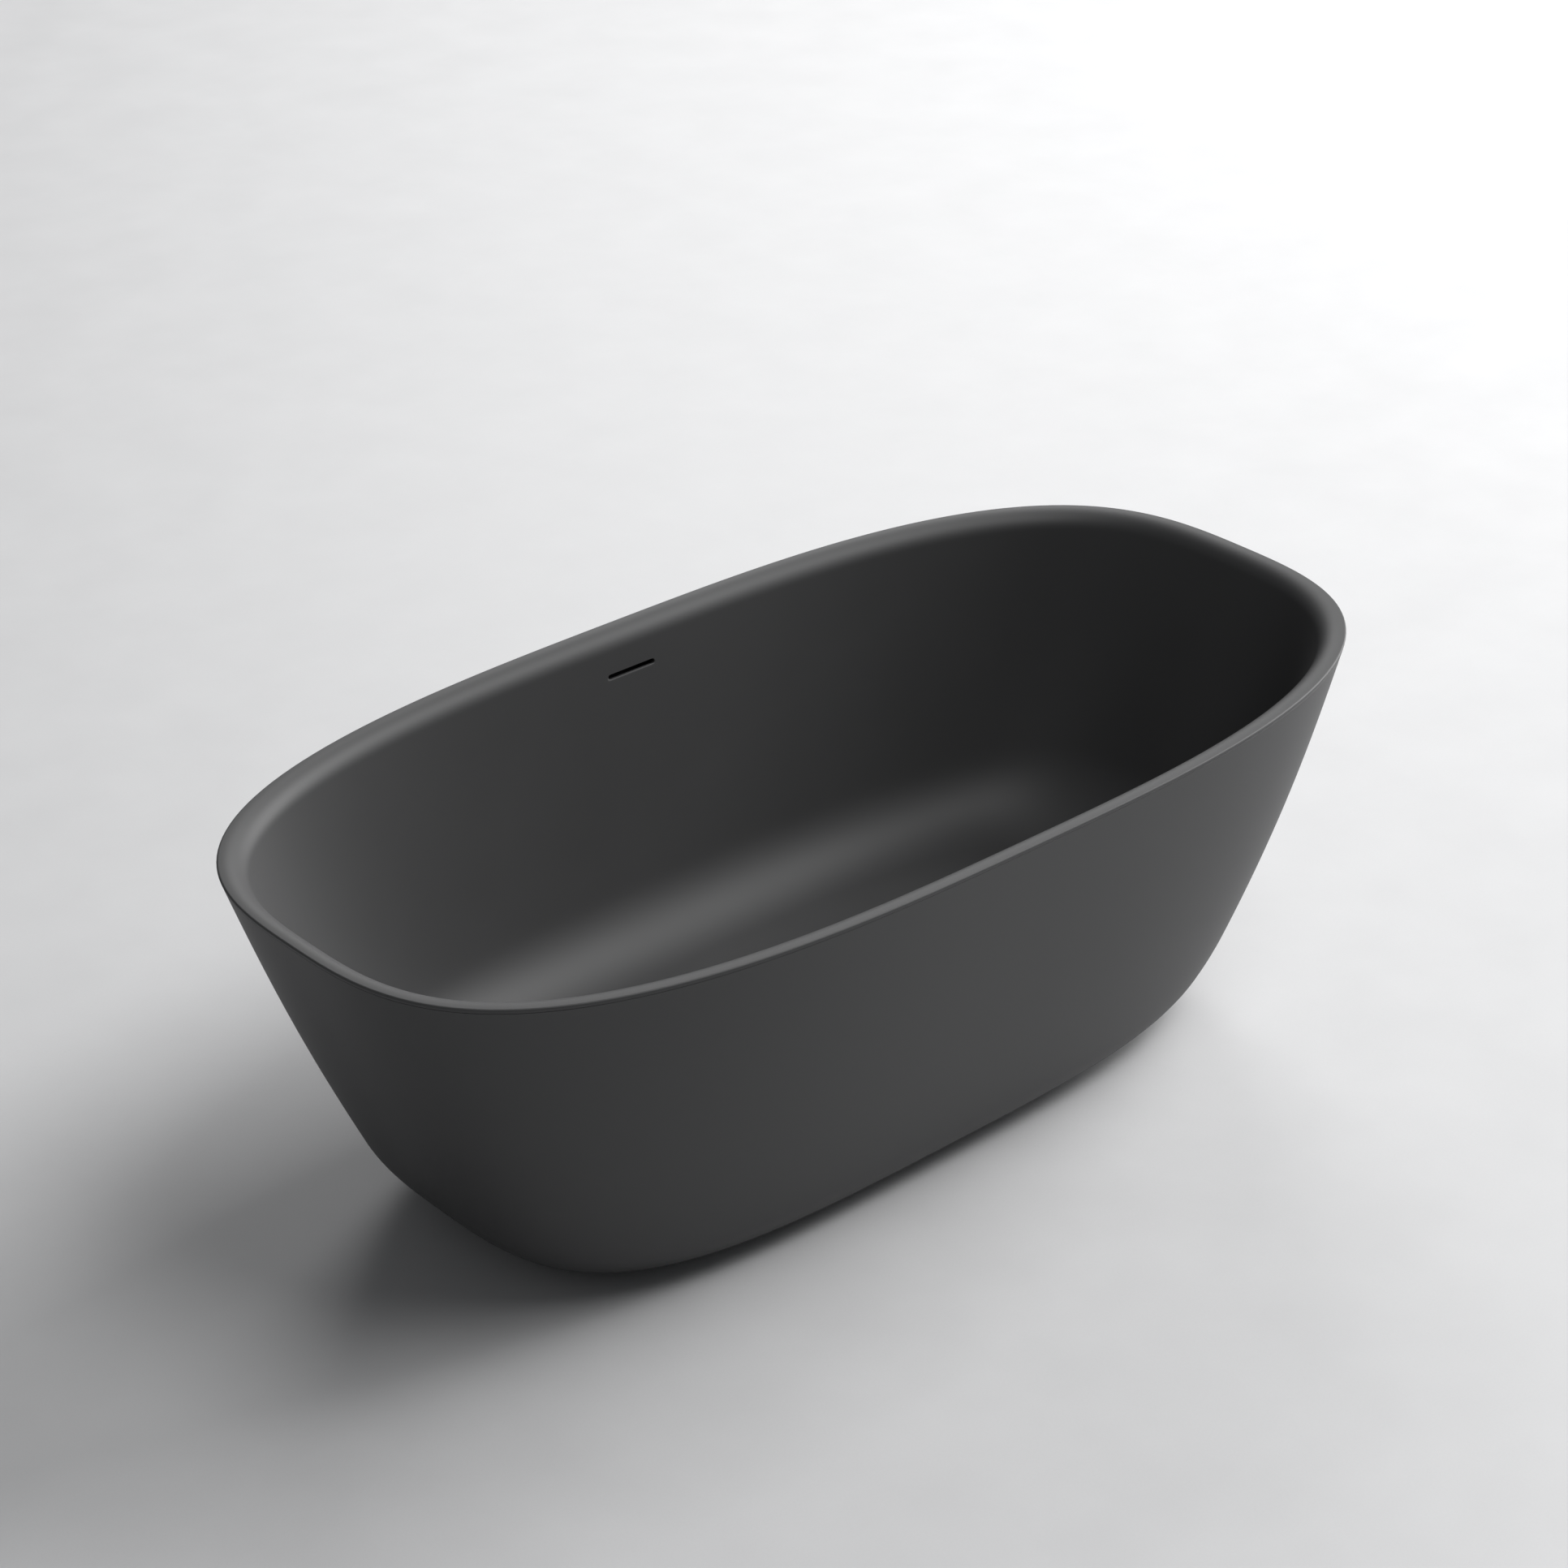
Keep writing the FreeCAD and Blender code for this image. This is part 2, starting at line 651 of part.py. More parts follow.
def union_nut():
    body = Part.makeCylinder(UNION_NUT_R - RIB_R, UNION_NUT_TOP - UNION_NUT_Z, vec(0, 0, UNION_NUT_Z))
    body = fuse([body] + ribs(UNION_NUT_R - RIB_R, UNION_NUT_Z, UNION_NUT_TOP))
    thread = Part.makeCylinder(TRAP_LIP_R + THREAD_CLEAR, UNION_NUT_TOP - TRAP_LIP_Z, vec(0, 0, TRAP_LIP_Z))
    neck = Part.makeCylinder(TRAP_INLET_R + THREAD_CLEAR, UNION_NUT_TOP - UNION_NUT_Z, vec(0, 0, UNION_NUT_Z))
    return body.cut([thread, neck])


def trap_arm(wall):
    """The flat duct from the inlet to the drum, moved in by wall."""
    half = TRAP_ARM_WIDTH / 2 - wall
    duct = box(vec(DRUM_X, -half, TRAP_FLOOR_Z + wall), vec(0, half, TRAP_ARM_TOP - wall))
    along = [e for e in duct.Edges if abs(e.Vertexes[0].Point.x - e.Vertexes[-1].Point.x) > 1]
    return duct.makeFillet(TRAP_ARM_ROUND - wall, along)


def elbow(radius, low):
    """A pipe of the given radius from the drum's axis to the outlet's, then down to low."""
    across = Part.makeCylinder(radius, DRUM_X - OUTLET_X, vec(OUTLET_X, 0, OUTLET_Z), vec(1, 0, 0))
    knee = Part.makeSphere(radius, vec(OUTLET_X, 0, OUTLET_Z))
    down = Part.makeCylinder(radius, OUTLET_Z - low, vec(OUTLET_X, 0, low))
    return fuse([across, knee, down])


def trap_body():
    lip = Part.makeCylinder(TRAP_LIP_R, WASHER_Z - TRAP_LIP_Z, vec(0, 0, TRAP_LIP_Z))
    inlet = Part.makeCylinder(TRAP_INLET_R, WASHER_Z - TRAP_FLOOR_Z, vec(0, 0, TRAP_FLOOR_Z))
    arm = trap_arm(0.0)
    drum = Part.makeCylinder(DRUM_R, DRUM_TOP - TRAP_FLOOR_Z, vec(DRUM_X, 0, TRAP_FLOOR_Z))
    outer_elbow = elbow(ELBOW_R, OUTLET_END_Z)
    outlet = Part.makeCylinder(OUTLET_R, OUTLET_SOCKET_TOP - OUTLET_END_Z, vec(OUTLET_X, 0, OUTLET_END_Z))
    solid = fuse([lip, inlet, arm, drum, outer_elbow, outlet])
    floor = TRAP_FLOOR_Z + TRAP_WALL
    inlet_bore = Part.makeCylinder(TRAP_INLET_BORE_R, WASHER_Z - floor, vec(0, 0, floor))
    arm_bore = trap_arm(TRAP_WALL)
    drum_bore = Part.makeCylinder(DRUM_R - TRAP_WALL, DRUM_TOP - floor, vec(DRUM_X, 0, floor))
    throat = elbow(OUTLET_THROAT_R, OUTLET_END_Z)
    socket = Part.makeCylinder(OUTLET_BORE_R, OUTLET_STOP_Z - OUTLET_END_Z, vec(OUTLET_X, 0, OUTLET_END_Z))
    hollow = solid.cut([inlet_bore, arm_bore, drum_bore, throat, socket])
    plate = box(vec(BAFFLE_X - TRAP_WALL, -DRUM_R, BAFFLE_Z), vec(BAFFLE_X, DRUM_R, DRUM_TOP))
    baffle = plate.common(Part.makeCylinder(DRUM_R - 1, DRUM_TOP, vec(DRUM_X, 0, 0)))
    return fuse([hollow, baffle])


def trap_cap():
    body = Part.makeCylinder(CAP_NUT_R - RIB_R, CAP_NUT_TOP - CAP_NUT_Z, vec(0, 0, CAP_NUT_Z))
    body = fuse([body] + ribs(CAP_NUT_R - RIB_R, CAP_NUT_Z, CAP_NUT_TOP))
    bore_top = DRUM_TOP + CAP_SEAL_THICK
    body = body.cut(Part.makeCylinder(DRUM_R + THREAD_CLEAR, bore_top - CAP_NUT_Z, vec(0, 0, CAP_NUT_Z)))
    body.translate(vec(DRUM_X, 0, 0))
    return body


def trap_cap_seal():
    ring = tube(CAP_SEAL_R, CAP_SEAL_BORE_R, DRUM_TOP, DRUM_TOP + CAP_SEAL_THICK)
    ring.translate(vec(DRUM_X, 0, 0))
    return ring


def outlet_nut():
    body = Part.makeCylinder(OUTLET_NUT_R - RIB_R, OUTLET_NUT_TOP - OUTLET_NUT_Z, vec(0, 0, OUTLET_NUT_Z))
    body = fuse([body] + ribs(OUTLET_NUT_R - RIB_R, OUTLET_NUT_Z, OUTLET_NUT_TOP))
    thread = Part.makeCylinder(OUTLET_R + THREAD_CLEAR, OUTLET_NUT_TOP - PIPE_SEAL_Z, vec(0, 0, PIPE_SEAL_Z))
    pipe = Part.makeCylinder(OUTLET_BORE_R, OUTLET_NUT_TOP - OUTLET_NUT_Z, vec(0, 0, OUTLET_NUT_Z))
    body = body.cut([thread, pipe])
    body.translate(vec(OUTLET_X, 0, 0))
    return body


def outlet_seal():
    ring = tube(OUTLET_R - 1, OUTLET_BORE_R, PIPE_SEAL_Z, OUTLET_END_Z)
    ring.translate(vec(OUTLET_X, 0, 0))
    return ring


# ---- board, frame and feet ----

def corners(x, y):
    return [(sx * x, sy * y) for sx in (-1, 1) for sy in (-1, 1)]


def hexagon(across, low, high):
    wire = Part.makePolygon([
        vec(across / math.sqrt(3) * math.cos(math.radians(60 * k)),
            across / math.sqrt(3) * math.sin(math.radians(60 * k)), low)
        for k in range(7)
    ])
    return Part.Face(wire).extrude(vec(0, 0, high - low))


def board_top():
    return FLOOR_Z - SHELL_SKIN


def frame_top():
    return board_top() - BOARD_THICK


def frame_bottom():
    return frame_top() - RAIL_HEIGHT


def screw_spots():
    return corners(SCREW_X[0], RAIL_Y) + corners(SCREW_X[1], RAIL_Y)


def bracket_spots():
    spots = []
    for x, y in corners(BRACKET_X, BRACKET_SCREW_Y):
        spots.append((x - BRACKET_SCREW_X, y))
        spots.append((x + BRACKET_SCREW_X, y))
    return spots


def floor_board():
    low = frame_top()
    high = vec(BOARD_LENGTH / 2, BOARD_WIDTH / 2, board_top())
    plate = box(vec(-BOARD_LENGTH / 2, -BOARD_WIDTH / 2, low), high)
    upright = [e for e in plate.Edges if abs(e.Vertexes[0].Point.z - e.Vertexes[-1].Point.z) > 1]
    plate = plate.makeFillet(BOARD_CORNER_R, upright)
    cuts = [Part.makeCylinder(BOARD_HOLE_R, BOARD_THICK, vec(0, 0, low))]
    for x, y in screw_spots():
        cuts.append(Part.makeCylinder(SCREW_BORE_R, SCREW_BITE + 1, vec(x, y, low)))
    return plate.cut(cuts)


def hollow_rail(length, centre, along_x):
    """A square-section tube lying along X or Y."""
    width = length if along_x else RAIL_WIDTH
    depth = RAIL_WIDTH if along_x else length
    low = vec(centre[0] - width / 2, centre[1] - depth / 2, frame_bottom())
    outer = Part.makeBox(width, depth, RAIL_HEIGHT, low)
    wall_x = 0 if along_x else RAIL_WALL
    wall_y = RAIL_WALL if along_x else 0
    inner = Part.makeBox(
        width - 2 * wall_x,
        depth - 2 * wall_y,
        RAIL_HEIGHT - 2 * RAIL_WALL,
        low + vec(wall_x, wall_y, RAIL_WALL),
    )
    return outer.cut(inner)


def base_frame():
    parts = [hollow_rail(RAIL_LENGTH, (0, RAIL_Y), True), hollow_rail(RAIL_LENGTH, (0, -RAIL_Y), True)]
    between = 2 * RAIL_Y - RAIL_WIDTH
    for x in CROSS_X:
        parts.append(hollow_rail(between, (x, 0), False))
        parts.append(hollow_rail(between, (-x, 0), False))
    cuts = []
    for x, y in corners(FOOT_X, FOOT_Y):
        nut = hexagon(WELD_NUT_ACROSS, frame_bottom() - WELD_NUT_HEIGHT, frame_bottom())
        nut.translate(vec(x, y, 0))
        parts.append(nut)
        below = vec(x, y, frame_bottom() - WELD_NUT_HEIGHT)
        cuts.append(Part.makeCylinder(STUD_BORE_R, WELD_NUT_HEIGHT, below))
        cuts.append(Part.makeCylinder(STUD_CLEAR_R, RAIL_HEIGHT - RAIL_WALL, vec(x, y, frame_bottom())))
    for x, y in screw_spots() + bracket_spots():
        cuts.append(Part.makeCylinder(SCREW_BORE_R, RAIL_HEIGHT, vec(x, y, frame_bottom())))
    return fuse(parts).cut(cuts)


def pan_screw(length):
    """A screw pointing up, the underside of its head at z = 0."""
    head = Part.makeCylinder(SCREW_HEAD_R, SCREW_HEAD, vec(0, 0, -SCREW_HEAD))
    shank = Part.makeCylinder(SCREW_R, length, vec(0, 0, 0))
    drive = hexagon(SCREW_R, -SCREW_HEAD, -SCREW_HEAD / 2)
    return fuse([head, shank]).cut(drive)


def frame_screws():
    length = RAIL_HEIGHT + SCREW_BITE
    return screws_at(screw_spots(), frame_bottom(), length)


def bracket_screws():
    low = frame_bottom() - BRACKET_THICK
    return screws_at(bracket_spots(), low, BRACKET_THICK + RAIL_HEIGHT - RAIL_WALL)


def screws_at(spots, z, length):
    group = []
    for x, y in spots:
        screw = pan_screw(length)
        screw.translate(vec(x, y, z))
        group.append(screw)
    return Part.makeCompound(group)


def skirt_bracket():
    """A strip from under the rail out to the skirt, its tab turned up along the skirt's inner face."""
    low = frame_bottom() - BRACKET_THICK
    half = BRACKET_WIDTH / 2
    start = RAIL_Y + RAIL_WIDTH / 2 - BRACKET_LAP
    scale = (1 - (abs(BRACKET_X + half) / outer_size(low)[0]) ** exponent(low)) ** (1 / exponent(low))

    def reach(z):
        return (inset_size(z, SKIRT_SKIN)[1] * scale) - BRACKET_STANDOFF

    top = low + BRACKET_TAB
    profile = [
        vec(0, start, low),
        vec(0, reach(low), low),
        vec(0, reach(top), top),
        vec(0, reach(top) - BRACKET_THICK, top),
        vec(0, reach(low + BRACKET_THICK) - BRACKET_THICK, low + BRACKET_THICK),
        vec(0, start, low + BRACKET_THICK),
    ]
    face = Part.Face(Part.makePolygon(profile + profile[:1]))
    shape = face.extrude(vec(BRACKET_WIDTH, 0, 0))
    shape.translate(vec(-half, 0, 0))
    cuts = []
    for side in (-1, 1):
        spot = vec(side * BRACKET_SCREW_X, BRACKET_SCREW_Y, low)
        cuts.append(Part.makeCylinder(SCREW_BORE_R, BRACKET_THICK, spot))
    return shape.cut(cuts)


def skirt_brackets():
    group = []
    for x, y in corners(BRACKET_X, 1):
        bracket = skirt_bracket()
        if y < 0:
            bracket.rotate(vec(0, 0, 0), vec(0, 0, 1), 180)
        bracket.translate(vec(x, 0, 0))
        group.append(bracket)
    return Part.makeCompound(group)


def lock_nuts():
    high = frame_bottom() - WELD_NUT_HEIGHT
    group = []
    for x, y in corners(FOOT_X, FOOT_Y):
        nut = hexagon(LOCK_NUT_ACROSS, high - LOCK_NUT_HEIGHT, high)
        nut = nut.cut(Part.makeCylinder(STUD_BORE_R, LOCK_NUT_HEIGHT, vec(0, 0, high - LOCK_NUT_HEIGHT)))
        nut.translate(vec(x, y, 0))
        group.append(nut)
    return Part.makeCompound(group)


def foot_pad():
    """A round pad whose pocket holds the stud's disc and lets it turn."""
    base = Part.makeCylinder(PAD_R, PAD_TOP / 2, vec(0, 0, 0))
    crown = Part.makeCone(PAD_R, PAD_SHOULDER_R, PAD_TOP / 2, vec(0, 0, PAD_TOP / 2))
    pocket = Part.makeCylinder(PAD_POCKET_R, PAD_LID - PAD_FLOOR, vec(0, 0, PAD_FLOOR))
    neck = Part.makeCylinder(PAD_NECK_R, PAD_TOP - PAD_LID, vec(0, 0, PAD_LID))
    return fuse([base, crown]).cut([pocket, neck])


def foot_stud():
    disc = Part.makeCylinder(STUD_DISC_R, STUD_Z - STUD_DISC_Z, vec(0, 0, STUD_DISC_Z))
    rod = Part.makeCylinder(STUD_R, STUD_TOP - STUD_Z, vec(0, 0, STUD_Z))
    rod = rod.makeChamfer(STUD_CHAMFER, [e for e in rod.Edges if e.BoundBox.ZMin > STUD_TOP - 1])
    low = PAD_TOP + HEX_FLAT_GAP
    flats = hexagon(HEX_FLAT_ACROSS, low, low + HEX_FLAT_HEIGHT)
    band = tube(2 * STUD_R, STUD_CHAMFER, low, low + HEX_FLAT_HEIGHT)
    return fuse([disc, rod.cut(band.cut(flats))])


def main():
    os.makedirs("parts", exist_ok=True)
    save("basin_shell", basin_shell())
    save("outer_skirt", outer_skirt())
    save("overflow_seal", overflow_seal())
    save("overflow_box", overflow_box())
    save("overflow_hose", overflow_hose())
    save("hose_clip_upper", upper_clip())
    save("hose_clip_lower", lower_clip())
    save("drain_flange", drain_flange())
    save("drain_seal_upper", tube(TOP_SEAL_R, SEAL_BORE_R, RECESS_Z, FLANGE_Z))
    save("drain_seal_lower", tube(LOW_SEAL_R, SEAL_BORE_R, LOW_SEAL_Z, BOSS_Z))
    save("waste_body", waste_body())
    save("click_barrel", click_barrel())
    save("click_spring", click_spring())
    save("plug_stem", plug_stem())
    save("plug_cap", plug_cap())
    save("plug_seal", tube(PLUG_SEAL_R, PLUG_SEAL_BORE_R, PLUG_SEAL_Z, CAP_Z))
    save("trap_body", trap_body())
    save("trap_union_nut", union_nut())
    save("trap_washer", tube(WASHER_R, WASHER_BORE_R, WASHER_Z, WASTE_END_Z))
    save("trap_cap", trap_cap())
    save("trap_cap_seal", trap_cap_seal())
    save("outlet_nut", outlet_nut())
    save("outlet_seal", outlet_seal())
    save("floor_board", floor_board())
    save("base_frame", base_frame())
    save("frame_screws", frame_screws())
    save("skirt_brackets", skirt_brackets())
    save("bracket_screws", bracket_screws())
    save("stud_lock_nuts", lock_nuts())
    for name, x, y in FOOT_SIDES:
        spot = vec(x * FOOT_X, y * FOOT_Y, 0)
        pad = foot_pad()
        pad.translate(spot)
        save("foot_pad_" + name, pad)
        stud = foot_stud()
        stud.translate(spot)
        save("foot_stud_" + name, stud)


main()
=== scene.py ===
import json
import math

import bmesh
import bpy
from mathutils import Matrix, Vector


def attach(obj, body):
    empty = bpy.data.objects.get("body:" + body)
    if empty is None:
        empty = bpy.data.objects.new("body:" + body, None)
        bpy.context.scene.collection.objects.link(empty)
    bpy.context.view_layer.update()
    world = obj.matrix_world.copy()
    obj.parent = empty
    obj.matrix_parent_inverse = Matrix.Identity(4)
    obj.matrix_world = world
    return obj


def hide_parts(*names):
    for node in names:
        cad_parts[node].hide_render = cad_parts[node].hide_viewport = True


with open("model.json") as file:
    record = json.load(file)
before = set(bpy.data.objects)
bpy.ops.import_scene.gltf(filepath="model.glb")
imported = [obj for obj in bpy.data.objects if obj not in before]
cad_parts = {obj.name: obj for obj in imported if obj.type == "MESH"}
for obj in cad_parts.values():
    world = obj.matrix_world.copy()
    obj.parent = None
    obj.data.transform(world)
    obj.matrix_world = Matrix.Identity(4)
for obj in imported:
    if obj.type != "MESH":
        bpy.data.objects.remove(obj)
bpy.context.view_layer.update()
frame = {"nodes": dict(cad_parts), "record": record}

# Metres, in the row's frame: +X along the tub, +Y towards the overflow side, +Z up from the floor.
MM = 0.001
LENGTH = 1700 * MM
WIDTH = 850 * MM
HEIGHT = 560 * MM
RIM_EXPONENT = 2.95
BASE_EXPONENT = 3.45
END = {"half": LENGTH / 2, "lean": 22.4, "radius": 200 * MM, "bow": 9.2 * MM}
SIDE = {"half": WIDTH / 2, "lean": 14.5, "radius": 94 * MM, "bow": 13.5 * MM}
WELL_END = {"half": LENGTH / 2, "lean": 24.0, "radius": 170 * MM, "bow": 9.2 * MM}
WELL_SIDE = {"half": WIDTH / 2, "lean": 16.5, "radius": 110 * MM, "bow": 13.5 * MM}
FLOOR_Z = 130 * MM
FALL_DEPTH = 2 * MM
FALL_R = 9.0
RIM_FLAT = 7.0 * MM
RIM_ROUND = 33 * MM
EDGE_R = 2.4 * MM
EDGE_Z = HEIGHT - EDGE_R
SKIN = 6 * MM
SKIRT_SKIN = 4 * MM
SKIRT_GAP = 6 * MM
SEAM = 0.5 * MM
BOSS_R = 52 * MM
BOSS_Z = 119 * MM
DRAIN_R = 23.2 * MM
RECESS_R = 36.5 * MM
RECESS_Z = 125.5 * MM
SLOT_Z = 500 * MM
SLOT_HALF = 38.5 * MM
SLOT_R = 3.5 * MM
SLOT_EDGE = 0.5 * MM


# ---- the tub's curves ----

def exponent(z):
    return RIM_EXPONENT + (BASE_EXPONENT - RIM_EXPONENT) * (HEIGHT - z) / HEIGHT


def bow(z, amount):
    return amount * math.sin(math.pi * (HEIGHT - z) / HEIGHT)


def outer_half(z, wall):
    """Half size of the outer face at height z: a leaning wall with a bow, then an arc into the base."""
    slope = math.radians(wall["lean"])
    radius = wall["radius"]
    arc_top = radius * (1 - math.sin(slope))
    level = min(max(z, arc_top), EDGE_Z)
    half = wall["half"] - (EDGE_Z - level) * math.tan(slope)
    if z < arc_top:
        half += math.sqrt(radius ** 2 - (radius - z) ** 2) - radius * math.cos(slope)
    return half + bow(min(z, EDGE_Z), wall["bow"]) - bow(EDGE_Z, wall["bow"])


def outer_size(z, inset=0.0):
    return outer_half(z, END) - inset, outer_half(z, SIDE) - inset


def inner_size(z):
    """The skirt's inner face: the outer one moved in along its own normal."""
    step = 1 * MM
    end, side = outer_size(z)
    up_end, up_side = outer_size(z + step)
    return (
        end - SKIRT_SKIN * math.hypot(1, (up_end - end) / step),
        side - SKIRT_SKIN * math.hypot(1, (up_side - side) / step),
    )


def well_half(z, wall, skin):
    """Half size of the basin's face at height z, moved out by skin."""
    slope = math.radians(wall["lean"])
    rim_centre = HEIGHT - RIM_ROUND
    flat_half = wall["half"] - RIM_FLAT
    rim_r = RIM_ROUND - skin
    wall_top = rim_centre + rim_r * math.sin(slope)
    if z > wall_top:
        return flat_half - math.sqrt(max(rim_r ** 2 - (z - rim_centre) ** 2, 0.0)) + bow(z, wall["bow"])
    floor_r = wall["radius"] + skin
    floor_centre = FLOOR_Z + wall["radius"]
    wall_end = floor_centre - floor_r * math.sin(slope)
    level = max(z, wall_end)
    half = flat_half - rim_r * math.cos(slope) - (wall_top - level) * math.tan(slope)
    if z < wall_end:
        reach = math.sqrt(max(floor_r ** 2 - (floor_centre - z) ** 2, 0.0))
        half += reach - floor_r * math.cos(slope)
    return half + bow(z, wall["bow"])


def well_size(z, skin=0.0):
    return well_half(z, WELL_END, skin), well_half(z, WELL_SIDE, skin)


def side_y(x, z, skin):
    """The basin's +Y wall: its y at a given x and z."""
    a, b = well_size(z, skin)
    n = exponent(z)
    return b * (1 - abs(x / a) ** n) ** (1 / n)


# ---- mesh helpers ----

FINE_DEG = 4.5
FINE_STEPS = 24
COARSE_STEPS = 228


def column_angles():
    """Angles around the plan, closer together where the overflow slot is."""
    start = 90 + FINE_DEG
    sweep = 360 - 2 * FINE_DEG
    angles = [start + sweep * k / COARSE_STEPS for k in range(COARSE_STEPS)]
    angles += [90 - FINE_DEG + 2 * FINE_DEG * k / FINE_STEPS for k in range(FINE_STEPS)]
    return [math.radians(v) for v in angles]


ANGLES = column_angles()
COLUMNS = len(ANGLES)


def plan_row(size, z, n, fall=False):
    """One closed row of points: a superellipse at height z."""
    row = []
    for angle in ANGLES:
        c = math.cos(angle)
        s = math.sin(angle)
        scale = (abs(c) ** n + abs(s) ** n) ** (-1 / n)
        x = size[0] * c * scale
        y = size[1] * s * scale
        height = z
        if fall:
            height = min(z, FLOOR_Z - FALL_DEPTH + (x * x + y * y) / (2 * FALL_R))
        row.append(Vector((x, y, height)))
    return row


def mesh_object(name, bm, sharp_deg=35.0):
    """A finished object from a bmesh: outward normals, smooth faces, sharp edges by angle."""
    bmesh.ops.recalc_face_normals(bm, faces=bm.faces)
    mesh = bpy.data.meshes.new(name)
    bm.to_mesh(mesh)
    bm.free()
    mesh.polygons.foreach_set("use_smooth", [True] * len(mesh.polygons))
    mesh.set_sharp_from_angle(angle=math.radians(sharp_deg))
    obj = bpy.data.objects.new(name, mesh)
    bpy.context.scene.collection.objects.link(obj)
    return obj


def ring_faces(bm, upper, lower):
    """Quads between two closed rows of vertices."""
    count = len(upper)
    for k in range(count):
        j = (k + 1) % count
        bm.faces.new((upper[k], upper[j], lower[j], lower[k]))


# ---- materials ----

def node(tree, kind, **values):
    made = tree.nodes.new(kind)
    for key, value in values.items():
        if key in made.inputs:
            made.inputs[key].default_value = value
        else:
            setattr(made, key, value)
    return made


def surface(name, dark, light, rough, grain, bump=0.1, depth=0.0002, metallic=0.0, streak=None, **extra):
    """A procedural material: colour and roughness drift with noise, and fine grain bumps the face."""
    material = bpy.data.materials.new(name)
    material.use_nodes = True
    tree = material.node_tree
    link = tree.links.new
    shader = tree.nodes["Principled BSDF"]
    shader.inputs["Metallic"].default_value = metallic
    for key, value in extra.items():
        shader.inputs[key.replace("_", " ")].default_value = value
    place = node(tree, "ShaderNodeTexCoord")
    source = place.outputs["Object"]
    if streak:
        stretch = node(tree, "ShaderNodeMapping")
        stretch.inputs["Scale"].default_value = streak
        link(source, stretch.inputs["Vector"])
        source = stretch.outputs["Vector"]
    drift = node(tree, "ShaderNodeTexNoise", Scale=6.0, Detail=4.0, Roughness=0.55)
    fine = node(tree, "ShaderNodeTexNoise", Scale=grain, Detail=3.0, Roughness=0.6)
    link(source, drift.inputs["Vector"])
    link(source, fine.inputs["Vector"])
    mix = node(tree, "ShaderNodeMath", operation="MULTIPLY_ADD")
    link(fine.outputs["Fac"], mix.inputs[0])
    mix.inputs[1].default_value = 0.35
    scaled = node(tree, "ShaderNodeMath", operation="MULTIPLY")
    link(drift.outputs["Fac"], scaled.inputs[0])
    scaled.inputs[1].default_value = 0.65
    link(scaled.outputs[0], mix.inputs[2])
    ramp = node(tree, "ShaderNodeValToRGB")
    ramp.color_ramp.elements[0].position = 0.3
    ramp.color_ramp.elements[0].color = (*dark, 1)
    ramp.color_ramp.elements[1].position = 0.7
    ramp.color_ramp.elements[1].color = (*light, 1)
    link(mix.outputs[0], ramp.inputs["Fac"])
    link(ramp.outputs["Color"], shader.inputs["Base Color"])
    spread = node(tree, "ShaderNodeMapRange")
    spread.inputs["To Min"].default_value = rough[0]
    spread.inputs["To Max"].default_value = rough[1]
    link(drift.outputs["Fac"], spread.inputs["Value"])
    link(spread.outputs["Result"], shader.inputs["Roughness"])
    bumps = node(tree, "ShaderNodeBump", Strength=bump, Distance=depth)
    link(fine.outputs["Fac"], bumps.inputs["Height"])
    link(bumps.outputs["Normal"], shader.inputs["Normal"])
    return material


CHARCOAL = surface(
    "matt_charcoal", (0.0465, 0.0465, 0.0474), (0.0515, 0.0515, 0.0524), (0.54, 0.60), 1400, 0.12, 0.00008
)
MATERIALS = {
    "grey_foam": surface("foam", (0.10, 0.10, 0.10), (0.14, 0.14, 0.14), (0.8, 0.9), 900, 0.4),
    "black_moulding": surface(
        "black_moulding", (0.022, 0.022, 0.023), (0.032, 0.032, 0.033), (0.42, 0.55), 700
    ),
    "grey_hose": surface("grey_hose", (0.36, 0.37, 0.38), (0.45, 0.46, 0.47), (0.38, 0.5), 500),
    "band_steel": surface(
        "band_steel", (0.50, 0.50, 0.51), (0.62, 0.62, 0.63), (0.22, 0.34), 600, metallic=1.0
    ),
    "plated_brass": surface(
        "plated_brass", (0.66, 0.66, 0.67), (0.74, 0.74, 0.75), (0.08, 0.16), 900, metallic=1.0
    ),
    "black_rubber": surface("black_rubber", (0.018, 0.018, 0.018), (0.028, 0.028, 0.028), (0.62, 0.75), 800),
    "white_moulding": surface("white_moulding", (0.68, 0.68, 0.66), (0.76, 0.76, 0.74), (0.32, 0.42), 500),
    "board_wood": surface(
        "board_wood", (0.42, 0.31, 0.19), (0.58, 0.45, 0.30), (0.6, 0.75), 160, 0.3, 0.0004,
        streak=(0.25, 3, 3),
    ),
    "painted_frame": surface(
        "painted_frame", (0.018, 0.018, 0.019), (0.027, 0.027, 0.028), (0.38, 0.5), 900, 0.3
    ),
    "zinc_steel": surface(
        "zinc_steel", (0.47, 0.48, 0.50), (0.60, 0.61, 0.62), (0.28, 0.42), 400, metallic=1.0
    ),
    "pad_rubber": surface("pad_rubber", (0.020, 0.020, 0.020), (0.030, 0.030, 0.030), (0.55, 0.7), 700),
}
for charcoal_slot in ("matt_charcoal_inner", "matt_charcoal_outer", "matt_charcoal_cap"):
    MATERIALS[charcoal_slot] = CHARCOAL

SLOT_OF = {s["node"]: s["material_slot"] for s in frame["record"]["subparts"]}


def dress(obj, slot_name):
    obj.data.materials.clear()
    obj.data.materials.append(MATERIALS[slot_name])
    return obj


def piece(obj, body, *nodes):
    """A finished visual piece: its material, the CAD nodes it stands for and the body it rides on."""
    dress(obj, SLOT_OF[nodes[0]])
    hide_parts(*nodes)
    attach(obj, body)
    return obj


